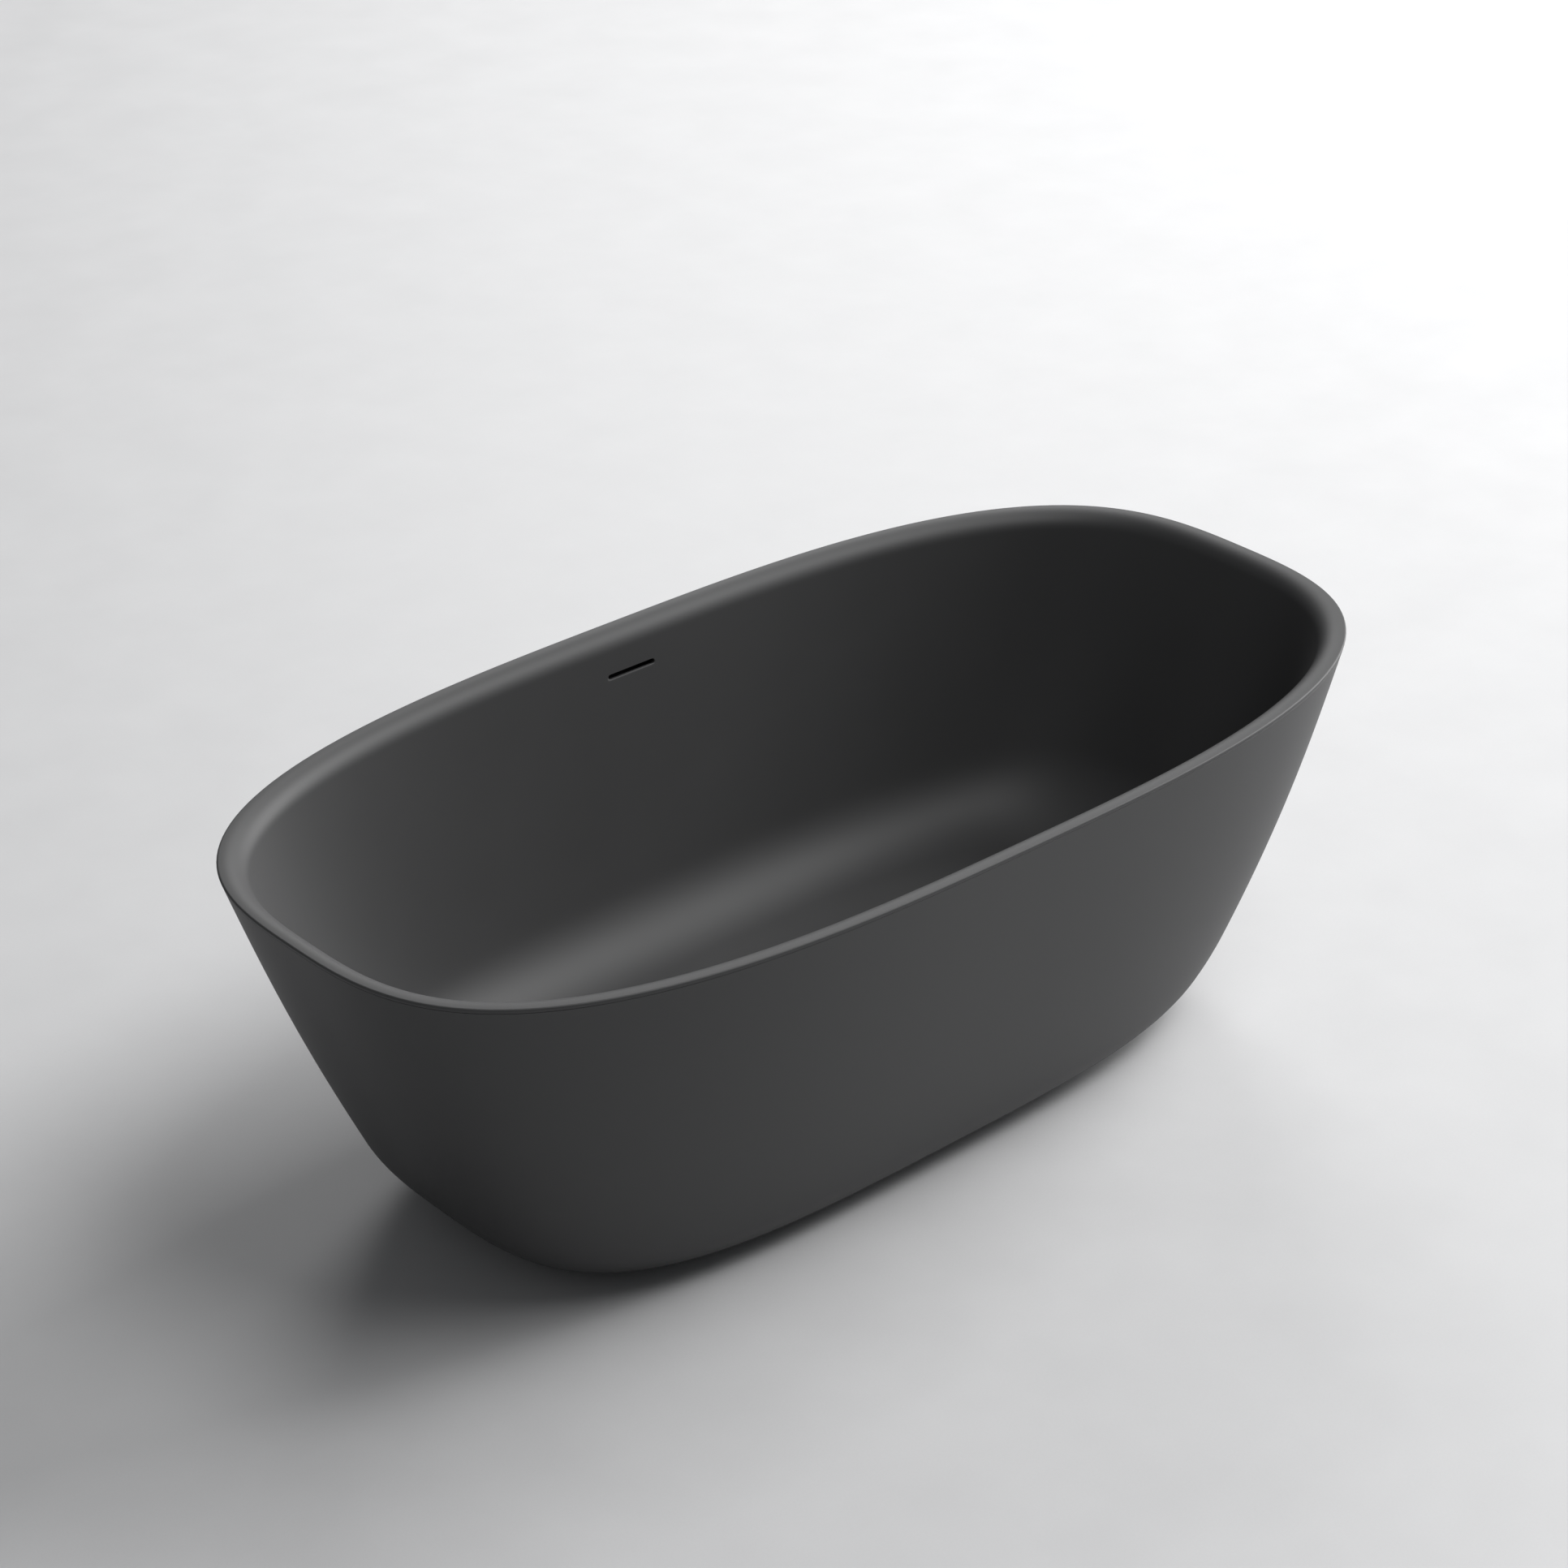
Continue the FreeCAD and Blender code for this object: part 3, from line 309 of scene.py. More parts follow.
for node_name, cad in frame["nodes"].items():
    dress(cad, SLOT_OF[node_name])


# ---- the basin ----

WINDOW_LOW = 482 * MM
WINDOW_HIGH = 518 * MM
WINDOW_ROWS = 12


def spaced(low, high, count):
    return [low + (high - low) * k / count for k in range(count + 1)]


def well_levels(skin):
    """Heights from the floor to the rim: dense on the two arcs and at the slot's window."""
    low = FLOOR_Z - skin
    high = HEIGHT - skin
    floor_top = FLOOR_Z + WELL_END["radius"]
    levels = [low + (floor_top - low) * (k / 26) ** 2 for k in range(27)]
    levels += spaced(floor_top, WINDOW_LOW, 10)[1:]
    levels += spaced(WINDOW_LOW, WINDOW_HIGH, WINDOW_ROWS)[1:]
    centre = HEIGHT - RIM_ROUND
    rim_r = RIM_ROUND - skin
    levels += spaced(WINDOW_HIGH, centre + rim_r * math.sin(math.radians(14)), 3)[1:]
    start = math.radians(14)
    for k in range(1, 15):
        angle = start + (math.pi / 2 - start) * k / 14
        levels.append(centre + rim_r * math.sin(angle))
    levels[-1] = high
    return levels


def blend_rows(small_r, size, n, z, steps, fall):
    """Rows from a circle out to the floor's edge; the circle itself is left out."""
    rows = []
    for k in range(1, steps + 1):
        t = k / steps
        reach = small_r + (size[0] - small_r) * t, small_r + (size[1] - small_r) * t
        rows.append(plan_row(reach, z, 2 + (n - 2) * t, fall))
    return rows


def circle_row(radius, z):
    return plan_row((radius, radius), z, 2.0)


def slot_frame():
    """The slot's centre on the wall's back face, and the unit vectors up the wall and out of it."""
    step = 2 * MM
    y = well_size(SLOT_Z, SKIN)[1]
    rate = (well_size(SLOT_Z + step, SKIN)[1] - well_size(SLOT_Z - step, SKIN)[1]) / (2 * step)
    up = Vector((0, rate, 1)).normalized()
    return Vector((0, y, SLOT_Z)), up, Vector((0, up.z, -up.y))


def basin_rows():
    """Every row of the basin's skin, from the drain hole over the rim and back under to the hole."""
    rows = [circle_row(DRAIN_R, BOSS_Z + SEAM), circle_row(DRAIN_R, RECESS_Z - SEAM)]
    rows += [circle_row(DRAIN_R + SEAM, RECESS_Z), circle_row(RECESS_R - SEAM, RECESS_Z)]
    lip_z = FLOOR_Z - FALL_DEPTH + RECESS_R ** 2 / (2 * FALL_R)
    rows += [circle_row(RECESS_R, RECESS_Z + SEAM), circle_row(RECESS_R, lip_z - SEAM)]
    rows += [circle_row(RECESS_R + SEAM * 0.3, lip_z - SEAM * 0.3), circle_row(RECESS_R + SEAM, lip_z)]
    rows += [circle_row(RECESS_R + 3 * SEAM, lip_z)]
    rows += blend_rows(RECESS_R + 3 * SEAM, well_size(FLOOR_Z), exponent(FLOOR_Z), FLOOR_Z, 18, True)
    front = well_levels(0.0)
    front_start = len(rows) - 1
    rows += [plan_row(well_size(z), z, exponent(z)) for z in front[1:]]
    rim_n = exponent(HEIGHT)
    edge = outer_size(EDGE_Z)
    for inset in (EDGE_R + 2.6 * MM, EDGE_R + 1.2 * MM):
        rows.append(plan_row((edge[0] - inset, edge[1] - inset), HEIGHT, rim_n))
    for k in range(8, -1, -1):
        angle = math.pi / 2 * k / 8
        inset = EDGE_R * (1 - math.cos(angle))
        rows.append(plan_row((edge[0] - inset, edge[1] - inset), EDGE_Z + EDGE_R * math.sin(angle), rim_n))
    under = HEIGHT - SKIN
    rows.append(plan_row(outer_size(under + SEAM), under + SEAM, exponent(under)))
    rows.append(plan_row(outer_size(under, SEAM), under, exponent(under)))
    rows.append(plan_row(outer_size(under, 2 * MM), under, exponent(under)))
    back = well_levels(SKIN)[::-1]
    back_start = len(rows)
    rows += [plan_row(well_size(z, SKIN), z, exponent(z)) for z in back]
    low = FLOOR_Z - SKIN
    rows += blend_rows(BOSS_R, well_size(low, SKIN), exponent(low), low, 8, False)[-2::-1]
    rows += [circle_row(BOSS_R, low), circle_row(BOSS_R, BOSS_Z + SEAM), circle_row(BOSS_R - SEAM, BOSS_Z)]
    rows += [circle_row(DRAIN_R + SEAM, BOSS_Z)]
    window_front = front_start + front.index(WINDOW_LOW)
    window_back = back_start + back.index(WINDOW_HIGH)
    return rows, window_front, window_back


def stadium(u, w, radius):
    """The point of the slot's outline, at the given radius, nearest to (u, w)."""
    core = max(-SLOT_HALF, min(SLOT_HALF, u))
    away = Vector((u - core, w))
    away.normalize()
    return core + away.x * radius, away.y * radius


def window_patch(bm, grid, first_row, skin, radius):
    """Fills the window's border in to the slot's outline, and returns that outline's vertices in order."""
    origin, up, out = slot_frame()
    centre_z = origin.z - out.z * (SKIN - skin)
    left = COLUMNS - FINE_STEPS
    last = 0
    columns = list(range(left, COLUMNS)) + [last]
    bottom, top = first_row, first_row + WINDOW_ROWS
    border = [grid[bottom][c] for c in columns]
    border += [grid[r][columns[-1]] for r in range(bottom + 1, top)]
    border += [grid[top][c] for c in reversed(columns)]
    border += [grid[r][columns[0]] for r in range(top - 1, bottom, -1)]
    rings = [border]
    steps = 5
    for k in range(1, steps + 1):
        t = 1 - (1 - k / steps) ** 1.3
        ring = []
        for vert in border:
            w = (vert.co.z - centre_z) / up.z
            u_end, w_end = stadium(vert.co.x, w, radius)
            u = vert.co.x + (u_end - vert.co.x) * t
            z = centre_z + (w + (w_end - w) * t) * up.z
            ring.append(bm.verts.new((u, side_y(u, z, skin), z)))
        rings.append(ring)
    for one, two in zip(rings, rings[1:]):
        ring_faces(bm, one, two)
    return rings[-1]


def basin():
    rows, window_front, window_back = basin_rows()
    bm = bmesh.new()
    grid = [[bm.verts.new(p) for p in row] for row in rows]
    windows = [range(start, start + WINDOW_ROWS) for start in (window_front, window_back)]
    for r in range(len(grid)):
        upper = grid[r]
        lower = grid[(r + 1) % len(grid)]
        in_window = any(r in window for window in windows)
        for c in range(COLUMNS):
            if in_window and c >= COLUMNS - FINE_STEPS:
                continue
            d = (c + 1) % COLUMNS
            bm.faces.new((upper[c], upper[d], lower[d], lower[c]))
    origin, up, out = slot_frame()
    outline = window_patch(bm, grid, window_front, 0.0, SLOT_R + SLOT_EDGE)
    for k in range(1, 5):
        angle = math.pi / 2 * k / 4
        sink = SLOT_EDGE * (1 - math.cos(angle))
        ring = []
        for vert in outline:
            w = (vert.co - origin).dot(up)
            u_end, w_end = stadium(vert.co.x, w, SLOT_R + SLOT_EDGE - (SLOT_EDGE * math.sin(angle)))
            flat = Vector((u_end, 0, 0)) + origin + up * w_end - out * (SKIN - sink)
            ring.append(bm.verts.new(flat))
        ring_faces(bm, outline if k == 1 else previous, ring)
        previous = ring
    back_outline = window_patch(bm, grid, window_back, SKIN, SLOT_R)
    # The back window's rows run downwards, so its outline is turned to match the front one.
    count = len(previous)
    best = min(range(count), key=lambda k: (back_outline[k].co - previous[0].co).length)
    forward = (back_outline[(best + 1) % count].co - previous[1].co).length
    backward = (back_outline[(best - 1) % count].co - previous[1].co).length
    step = 1 if forward < backward else -1
    matched = [back_outline[(best + step * k) % count] for k in range(count)]
    ring_faces(bm, previous, matched)
    return mesh_object("basin", bm, 40)


def skirt():
    """The outer skirt: top lip, outer face down to the base, bottom lip and inner face."""
    top = HEIGHT - SKIN
    rows = [
        plan_row(inner_size(top), top, exponent(top)),
        plan_row(outer_size(top, SEAM), top, exponent(top)),
        plan_row(outer_size(top - SEAM), top - SEAM, exponent(top)),
        plan_row(outer_size(top - 3 * SEAM), top - 3 * SEAM, exponent(top)),
    ]
    base = SKIRT_GAP + 2 * SEAM
    levels = [base + (top - 3 * SEAM - base) * (k / 60) ** 1.7 for k in range(60)][::-1]
    rows += [plan_row(outer_size(z), z, exponent(z)) for z in levels]
    low = SKIRT_GAP
    rows.append(plan_row(outer_size(low, 0.6 * MM), low, exponent(low)))
    rows.append(plan_row(inner_size(low + MM), low, exponent(low)))
    rows += [plan_row(inner_size(z), z, exponent(z)) for z in spaced(low + MM, top - MM, 24)[1:]]
    bm = bmesh.new()
    grid = [[bm.verts.new(p) for p in row] for row in rows]
    for k, row in enumerate(grid):
        ring_faces(bm, row, grid[(k + 1) % len(grid)])
    return mesh_object("skirt", bm, 40)


piece(basin(), "tub", "basin_shell")
piece(skirt(), "tub", "outer_skirt")

# ---- the pieces inside the skirt, built in millimetres ----

UPRIGHT = Matrix.Identity(4)


def facing(direction, place=(0, 0, 0)):
    """A placing that turns Z to the direction and moves the origin to the place."""
    turn = Vector(direction).to_track_quat("Z", "Y").to_matrix().to_4x4()
    return Matrix.Translation(Vector(place)) @ turn


def unit_circle(count):
    return [(math.cos(2 * math.pi * k / count), math.sin(2 * math.pi * k / count)) for k in range(count)]


def lofted(bm, rows, place=UPRIGHT, closed=True):
    """A skin over rows of points: the last row joins the first, or both ends are capped."""
    grid = [[bm.verts.new(place @ Vector(p)) for p in row] for row in rows]
    for one, two in zip(grid, grid[1:]):
        ring_faces(bm, one, two)
    if closed:
        ring_faces(bm, grid[-1], grid[0])
    else:
        bm.faces.new(grid[0])
        bm.faces.new(grid[-1])


def turned(bm, profile, segments=64, relief=None, place=UPRIGHT):
    """A solid turned about Z from (radius, height) points.

    relief(angle, radius, height) gives a point's radius anew, for threads, ribs and hexagons.
    """
    rings = []
    for radius, height in profile:
        if radius < 1e-6:
            rings.append([bm.verts.new(place @ Vector((0, 0, height)))])
            continue
        ring = []
        for k in range(segments):
            angle = 2 * math.pi * k / segments
            r = relief(angle, radius, height) if relief else radius
            ring.append(bm.verts.new(place @ Vector((r * math.cos(angle), r * math.sin(angle), height))))
        rings.append(ring)
    pairs = list(zip(rings, rings[1:]))
    if len(rings[0]) > 1:
        pairs.append((rings[-1], rings[0]))
    for one, two in pairs:
        if len(one) > 1 and len(two) > 1:
            ring_faces(bm, one, two)
        elif len(one) > 1 or len(two) > 1:
            tip, ring = (one[0], two) if len(one) == 1 else (two[0], one)
            for k in range(segments):
                bm.faces.new((tip, ring[k], ring[(k + 1) % segments]))


def washer(outer, bore, low, high, edge=0.3):
    """The profile of a ring with eased edges."""
    return [
        (bore, low + edge), (bore + edge, low), (outer - edge, low), (outer, low + edge),
        (outer, high - edge), (outer - edge, high), (bore + edge, high), (bore, high - edge),
    ]


def climb(radius, low, high, step):
    """Points up a cylinder, close enough together to carry a thread."""
    count = max(2, round((high - low) / step))
    return [(radius, low + (high - low) * k / count) for k in range(count + 1)]


def threaded(major, pitch, depth, low, high):
    """A relief that cuts a helical thread into the major diameter between two heights."""
    def relief(angle, radius, height):
        if abs(radius - major) > 1e-3 or not low < height < high:
            return radius
        turn = (height / pitch - angle / (2 * math.pi)) % 1.0
        fade = min(1.0, (height - low) / pitch, (high - height) / pitch)
        return radius - depth * fade * abs(2 * turn - 1)
    return relief


def ribbed(least, count, depth):
    """A relief that stands grip ribs on everything at or beyond the least radius."""
    def relief(angle, radius, height):
        if radius < least:
            return radius
        return radius + depth * max(0.0, math.cos(count * angle)) ** 0.6
    return relief


def hexed(across, shown):
    """A relief that trims radii beyond the shown one to a hexagon of the given width across its flats."""
    def relief(angle, radius, height):
        if radius <= shown:
            return radius
        off = (angle % (math.pi / 3)) - math.pi / 6
        return min(radius, across / 2 / math.cos(off))
    return relief


def rounded_box(wide, deep, radius, steps=6):
    """A rounded rectangle's outline, counter-clockwise about the origin."""
    points = []
    for k, (sx, sy) in enumerate(((1, 1), (-1, 1), (-1, -1), (1, -1))):
        for step in range(steps + 1):
            angle = math.radians(90 * k + 90 * step / steps)
            points.append((
                sx * (wide / 2 - radius) + radius * math.cos(angle),
                sy * (deep / 2 - radius) + radius * math.sin(angle),
            ))
    return points


def block(bm, wide, deep, low, high, radius, place=UPRIGHT, edge=0.5):
    """A rounded block along Z with eased ends."""
    rows = []
    for inset, z in ((edge, low), (edge * 0.3, low + edge * 0.3), (0, low + edge),
                     (0, high - edge), (edge * 0.3, high - edge * 0.3), (edge, high)):
        outline = rounded_box(wide - 2 * inset, deep - 2 * inset, max(radius - inset, 0.1))
        rows.append([(x, y, z) for x, y in outline])
    lofted(bm, rows, place, closed=False)


def rail(bm, length, centre, along):
    """A hollow rounded tube lying along the given direction."""
    wall = 2.0
    outer = rounded_box(30, 20, 2.5)
    inner = rounded_box(30 - 2 * wall, 20 - 2 * wall, 0.8)
    half = length / 2
    rows = [[(x, y, z) for x, y in outer] for z in (-half, -half + 1, half - 1, half)]
    rows += [[(x, y, z) for x, y in inner] for z in (half, -half)]
    ahead = Vector(along)
    level = Vector((-ahead.y, ahead.x, 0))
    turn = Matrix((
        (level.x, 0, ahead.x, 0), (level.y, 0, ahead.y, 0), (0, 1, 0, 0), (0, 0, 0, 1),
    ))
    lofted(bm, rows, Matrix.Translation(Vector(centre)) @ turn)


def bead(bm, start, end, size=1.7):
    """A weld bead: overlapping scales along a short line."""
    start, end = Vector(start), Vector(end)
    place = facing(end - start, start)
    length = (end - start).length
    count = max(6, round(length / 0.5))
    rows = []
    for k in range(count + 1):
        z = length * k / count
        swell = size * (0.8 + 0.2 * abs(math.sin(math.pi * z / 2.4)))
        swell *= min(1.0, 0.35 + min(z, length - z) / 2)
        rows.append([(swell * c, swell * s, z) for c, s in unit_circle(12)])
    lofted(bm, rows, place, closed=False)


def made(name, bm, sharp_deg=35.0):
    """Closes a millimetre bmesh into a finished object in metres."""
    bmesh.ops.scale(bm, vec=(MM, MM, MM), verts=bm.verts)
    return mesh_object(name, bm, sharp_deg)


def frames_along(points):
    """A pair of unit vectors across the path at each of its points, turning as little as possible."""
    pairs = []
    side = Vector((1, 0, 0))
    for k in range(len(points)):
        ahead = (points[min(k + 1, len(points) - 1)] - points[max(k - 1, 0)]).normalized()
        side = (side - ahead * side.dot(ahead)).normalized()
        pairs.append((side, ahead.cross(side)))
    return pairs


def piped(bm, points, outer_at, bore, segments=24):
    """A tube along a path: outer_at(distance, whole) is its radius, bore its inner radius or 0 for a rod."""
    travel = [0.0]
    for one, two in zip(points, points[1:]):
        travel.append(travel[-1] + (two - one).length)
    pairs = frames_along(points)
    fan = unit_circle(segments)

    def row(k, radius):
        side, across = pairs[k]
        return [points[k] + (side * c + across * s) * radius for c, s in fan]

    rows = [row(k, outer_at(travel[k], travel[-1])) for k in range(len(points))]
    if bore:
        back = list(range(len(points) - 1, 0, -6)) + [0]
        rows += [row(k, bore) for k in back]
    lofted(bm, rows, closed=bool(bore))


def bent_path(corners_mm, radii, spacing):
    """Points along straight runs joined by tangent arcs."""
    points = [corners_mm[0]]

    def run_to(end):
        start = points[-1]
        count = max(1, round((end - start).length / spacing))
        points.extend(start.lerp(end, k / count) for k in range(1, count + 1))

    for k in range(1, len(corners_mm) - 1):
        corner = corners_mm[k]
        back = (corners_mm[k - 1] - corner).normalized()
        ahead = (corners_mm[k + 1] - corner).normalized()
        half = back.angle(ahead) / 2
        radius = radii[k - 1]
        run_to(corner + back * (radius / math.tan(half)))
        centre = corner + (back + ahead).normalized() * (radius / math.sin(half))
        first = (points[-1] - centre).normalized()
        sweep = math.pi - 2 * half
        tangent = -back
        count = max(2, round(radius * sweep / spacing))
        for step in range(1, count + 1):
            angle = sweep * step / count
            points.append(centre + (first * math.cos(angle) + tangent * math.sin(angle)) * radius)
    run_to(corners_mm[-1])
    return points


def corners(x, y):
    return [(sx * x, sy * y) for sx in (-1, 1) for sy in (-1, 1)]


# ---- drain and plug ----

def plug_cap():
    bm = bmesh.new()
    dome = [(34 * math.sin(math.pi / 2 * k / 16), 135.1 - 2.6 * (math.sin(math.pi / 2 * k / 16)) ** 2)
            for k in range(16)]
    dome += [(33.55, 132.55), (33.86, 132.4), (34.0, 132.1), (34.0, 131.6), (33.7, 131.3)]
    dome += [(6.4, 131.3), (6.0, 130.9), (6.0, 118.4), (5.6, 118.0)]
    dome += [(3.8, 118.0), (3.5, 118.3), (3.5, 129.0), (0, 129.0)]
    turned(bm, dome, 96)
    return made("plug_cap", bm)


def plug_seal():
    bm = bmesh.new()
    profile = [(25.5, 129.8), (26.2, 129.5), (28.4, 129.3), (30.2, 129.4), (30.5, 129.9)]
    turned(bm, profile + [(30.3, 130.9), (29.8, 131.3), (25.9, 131.3), (25.5, 131.0)], 96)
    return made("plug_seal", bm)


def plug_stem():
    bm = bmesh.new()
    profile = [(0, 95), (6.35, 95), (6.65, 95.3), (6.65, 98.7), (6.35, 99), (3.9, 99), (3.5, 99.4)]
    turned(bm, profile + [(3.5, 128.4), (2.9, 129), (0, 129)], 48)
    return made("plug_stem", bm)


def drain_flange():
    bm = bmesh.new()
    profile = climb(22.5, 92.6, 124, 0.4)
    profile += [(22.5, 126.2), (23.3, 127.0), (34.1, 127.0), (34.5, 127.4), (34.5, 128.4), (34.3, 128.8)]
    profile += [(33.8, 129.0), (22.2, 129.0), (21.5, 128.8), (19.7, 127.2), (19.5, 126.8)]
    profile += [(19.5, 92.4), (19.9, 92.0), (21.9, 92.0)]
    turned(bm, profile, 96, threaded(22.5, 2.0, 0.7, 92.6, 124))
    turned(bm, washer(11, 8.05, 102, 112), 64)
    for k in range(3):
        angle = 2 * math.pi * k / 3
        turn = Matrix.Rotation(angle, 4, "Z") @ Matrix.Translation(Vector((15.25, 0, 0)))
        block(bm, 10.5, 4, 102, 112, 0.8, turn)
    return made("drain_flange", bm)


def waste_body():
    bm = bmesh.new()
    profile = [(19, 46.3), (19.3, 46), (24.6, 46)] + climb(25, 46.4, 59.5, 0.4)
    profile += [(25.3, 60), (27.6, 60), (28, 60.4), (28, 109), (28.9, 111.1)]
    profile += [(31, 112), (41.4, 112), (42, 112.6)]
    profile += [(42, 115.4), (41.4, 116), (22.95, 116), (22.55, 115.6), (22.55, 90), (19, 90)]
    turned(bm, profile, 96, threaded(25, 2.4, 0.9, 46.4, 59.5))
    for k in range(8):
        turn = Matrix.Rotation(math.pi * (2 * k + 1) / 8, 4, "Z") @ Matrix.Translation(Vector((33.5, 0, 0)))
        block(bm, 12, 2.4, 101, 112.3, 0.5, turn)
    barbs = [(6, 27), (7.2, 27)]
    for k in range(5):
        barbs += [(7.2, 36 + 4 * k), (7.9, 36.5 + 4 * k), (7.25, 39.6 + 4 * k)]
    barbs += [(7.2, 57.6), (6.8, 58), (6, 58)]
    turned(bm, barbs, 48, None, facing((0, 1, 0), (0, 0, 72)))
    return made("waste_body", bm)


def click_barrel():
    bm = bmesh.new()
    profile = [(0, 74), (7.6, 74), (8, 74.4)] + climb(8, 75, 101, 0.4)
    profile += [(8, 113.5), (7.5, 114), (4.2, 114), (3.9, 113.7), (3.9, 112), (6.7, 112), (6.7, 76), (0, 76)]
    turned(bm, profile, 64, threaded(8, 1.25, 0.45, 75, 101))
    return made("click_barrel", bm)


def click_spring():
    bm = bmesh.new()
    low, high, turns = 76.9, 94.1, 6
    count = 28 * turns
    points = []
    for k in range(count + 1):
        angle = 2 * math.pi * turns * k / count
        points.append(Vector((5 * math.cos(angle), 5 * math.sin(angle), low + (high - low) * k / count)))
    piped(bm, points, lambda at, whole: 0.7, 0, 12)
    return made("click_spring", bm)


# ---- trap ----

DRUM = Matrix.Translation(Vector((-112, 0, 0)))
OUTLET = Matrix.Translation(Vector((-188, 0, 0)))


def trap_body():
    bm = bmesh.new()
    drum = [(0, 11), (39.8, 11), (41.4, 11.7), (42, 13.4), (42, 60), (42.0, 83)] + climb(42, 83.5, 91, 0.5)
    turned(bm, drum + [(41.5, 92), (39.9, 92), (39.5, 91.6), (39.5, 13.5), (0, 13.5)], 96,
           threaded(42, 3.0, 0.9, 83.5, 91), DRUM)
    inlet = [(0, 11.2), (19.2, 11.2), (20.6, 11.9), (21, 13.2), (21, 40.2), (24.4, 41), (25, 41.6)]
    turned(bm, inlet + [(25, 43.6), (24.6, 44), (18.9, 44), (18.5, 43.6), (18.5, 13.6), (0, 13.6)], 80)
    outer, inner = rounded_box(48, 25.3, 6), rounded_box(43, 20.3, 3.5)
    lie = facing((-1, 0, 0), (-12, 0, 23.75))
    rows = [[(x, y, z) for x, y in outer] for z in (0, 60)] + [[(x, y, z) for x, y in inner] for z in (60, 0)]
    lofted(bm, rows, lie)
    path = bent_path([Vector((-151, 0, 58)), Vector((-188, 0, 58)), Vector((-188, 0, 46))], [11.5], 1.5)
    piped(bm, path, lambda at, whole: 22.0, 17.5, 64)
    socket = climb(25, 20.5, 31, 0.5) + [(25, 33), (25, 45.6), (24.2, 46.8), (22.4, 48), (17.5, 48)]
    turned(bm, socket + [(17.5, 44), (20.2, 44), (20.2, 20.4), (20.6, 20), (24.6, 20)], 80,
           threaded(25, 2.4, 0.8, 20.5, 31), OUTLET)
    block(bm, 2.5, 76, 24, 91, 0.4, Matrix.Translation(Vector((-103.25, 0, 0))))
    return made("trap_body", bm)


def trap_union_nut():
    bm = bmesh.new()
    profile = [(21.05, 37.8), (21.4, 37.5), (28.8, 37.5), (29.8, 38.6), (29.8, 56.9), (28.8, 58)]
    turned(bm, profile + [(25.5, 58), (25.05, 57.5), (25.05, 41), (21.05, 41)], 192, ribbed(29.7, 24, 1.2))
    return made("trap_union_nut", bm)


def trap_cap():
    bm = bmesh.new()
    profile = [(0, 96.8), (29, 96.8), (30.2, 97.3), (31, 98), (43.6, 98), (44.8, 96.8), (44.8, 85), (44, 84)]
    turned(bm, profile + [(42.5, 84), (42.05, 84.5), (42.05, 94), (0, 94)], 192, ribbed(44.7, 24, 1.2), DRUM)
    block(bm, 46, 7, 96.5, 98, 2, DRUM, 0.6)
    return made("trap_cap", bm)


def outlet_nut():
    bm = bmesh.new()
    profile = [(20.2, 13.4), (20.6, 13), (27.4, 13), (28.3, 14), (28.3, 33), (27.4, 34)]
    profile += [(25.5, 34), (25.05, 33.5), (25.05, 17), (20.2, 17)]
    turned(bm, profile, 192, ribbed(28.2, 24, 1.2), OUTLET)
    return made("outlet_nut", bm)


def ring(name, outer, bore, low, high, place=UPRIGHT, edge=0.35):
    bm = bmesh.new()
    turned(bm, washer(outer, bore, low, high, edge), 80, None, place)
    return made(name, bm)


# ---- overflow ----

def wall_place():
    """Turns (along the slot, out of the wall, up the wall) in millimetres to the row's frame."""
    origin, up, out = slot_frame()
    origin = origin / MM
    return Matrix((
        (1, 0, 0, origin.x), (0, out.y, up.y, origin.y), (0, out.z, up.z, origin.z), (0, 0, 0, 1),
    ))


def stadium_like(outline, half, radius):
    """A round-ended slot's outline with one point towards each point of another outline."""
    points = []
    for x, y in outline:
        core = max(-half, min(half, x))
        away = Vector((x - core, y)).normalized() if abs(x - core) + abs(y) > 1e-6 else Vector((0, 1))
        points.append((core + away.x * radius, away.y * radius))
    return points


def dense_box(wide, deep, radius, step=2.0):
    """A rounded rectangle's outline with points along its straights too."""
    sparse = rounded_box(wide, deep, radius)
    points = []
    for k, (x, y) in enumerate(sparse):
        nx, ny = sparse[(k + 1) % len(sparse)]
        count = max(1, round(math.hypot(nx - x, ny - y) / step))
        points += [(x + (nx - x) * j / count, y + (ny - y) * j / count) for j in range(count)]
    return points


def windowed(bm, wide, deep, radius, near, far, place, edge=0.3):
    """A plate across the wall with the overflow window cut through it."""
    outer = dense_box(wide, deep, radius)
    small = [(x * (1 - edge / wide * 2), y * (1 - edge / deep * 2)) for x, y in outer]
    hole = stadium_like(outer, 37.5, 7.5)
    rows = [[(x, n, w) for x, w in line] for line, n in (
        (hole, near), (small, near), (outer, near + edge), (outer, far - edge), (small, far), (hole, far),
    )]
    lofted(bm, rows, place)


def overflow_seal():
    bm = bmesh.new()
    windowed(bm, 112, 34, 1, 0.3, 2.3, wall_place())
    return made("overflow_seal", bm)


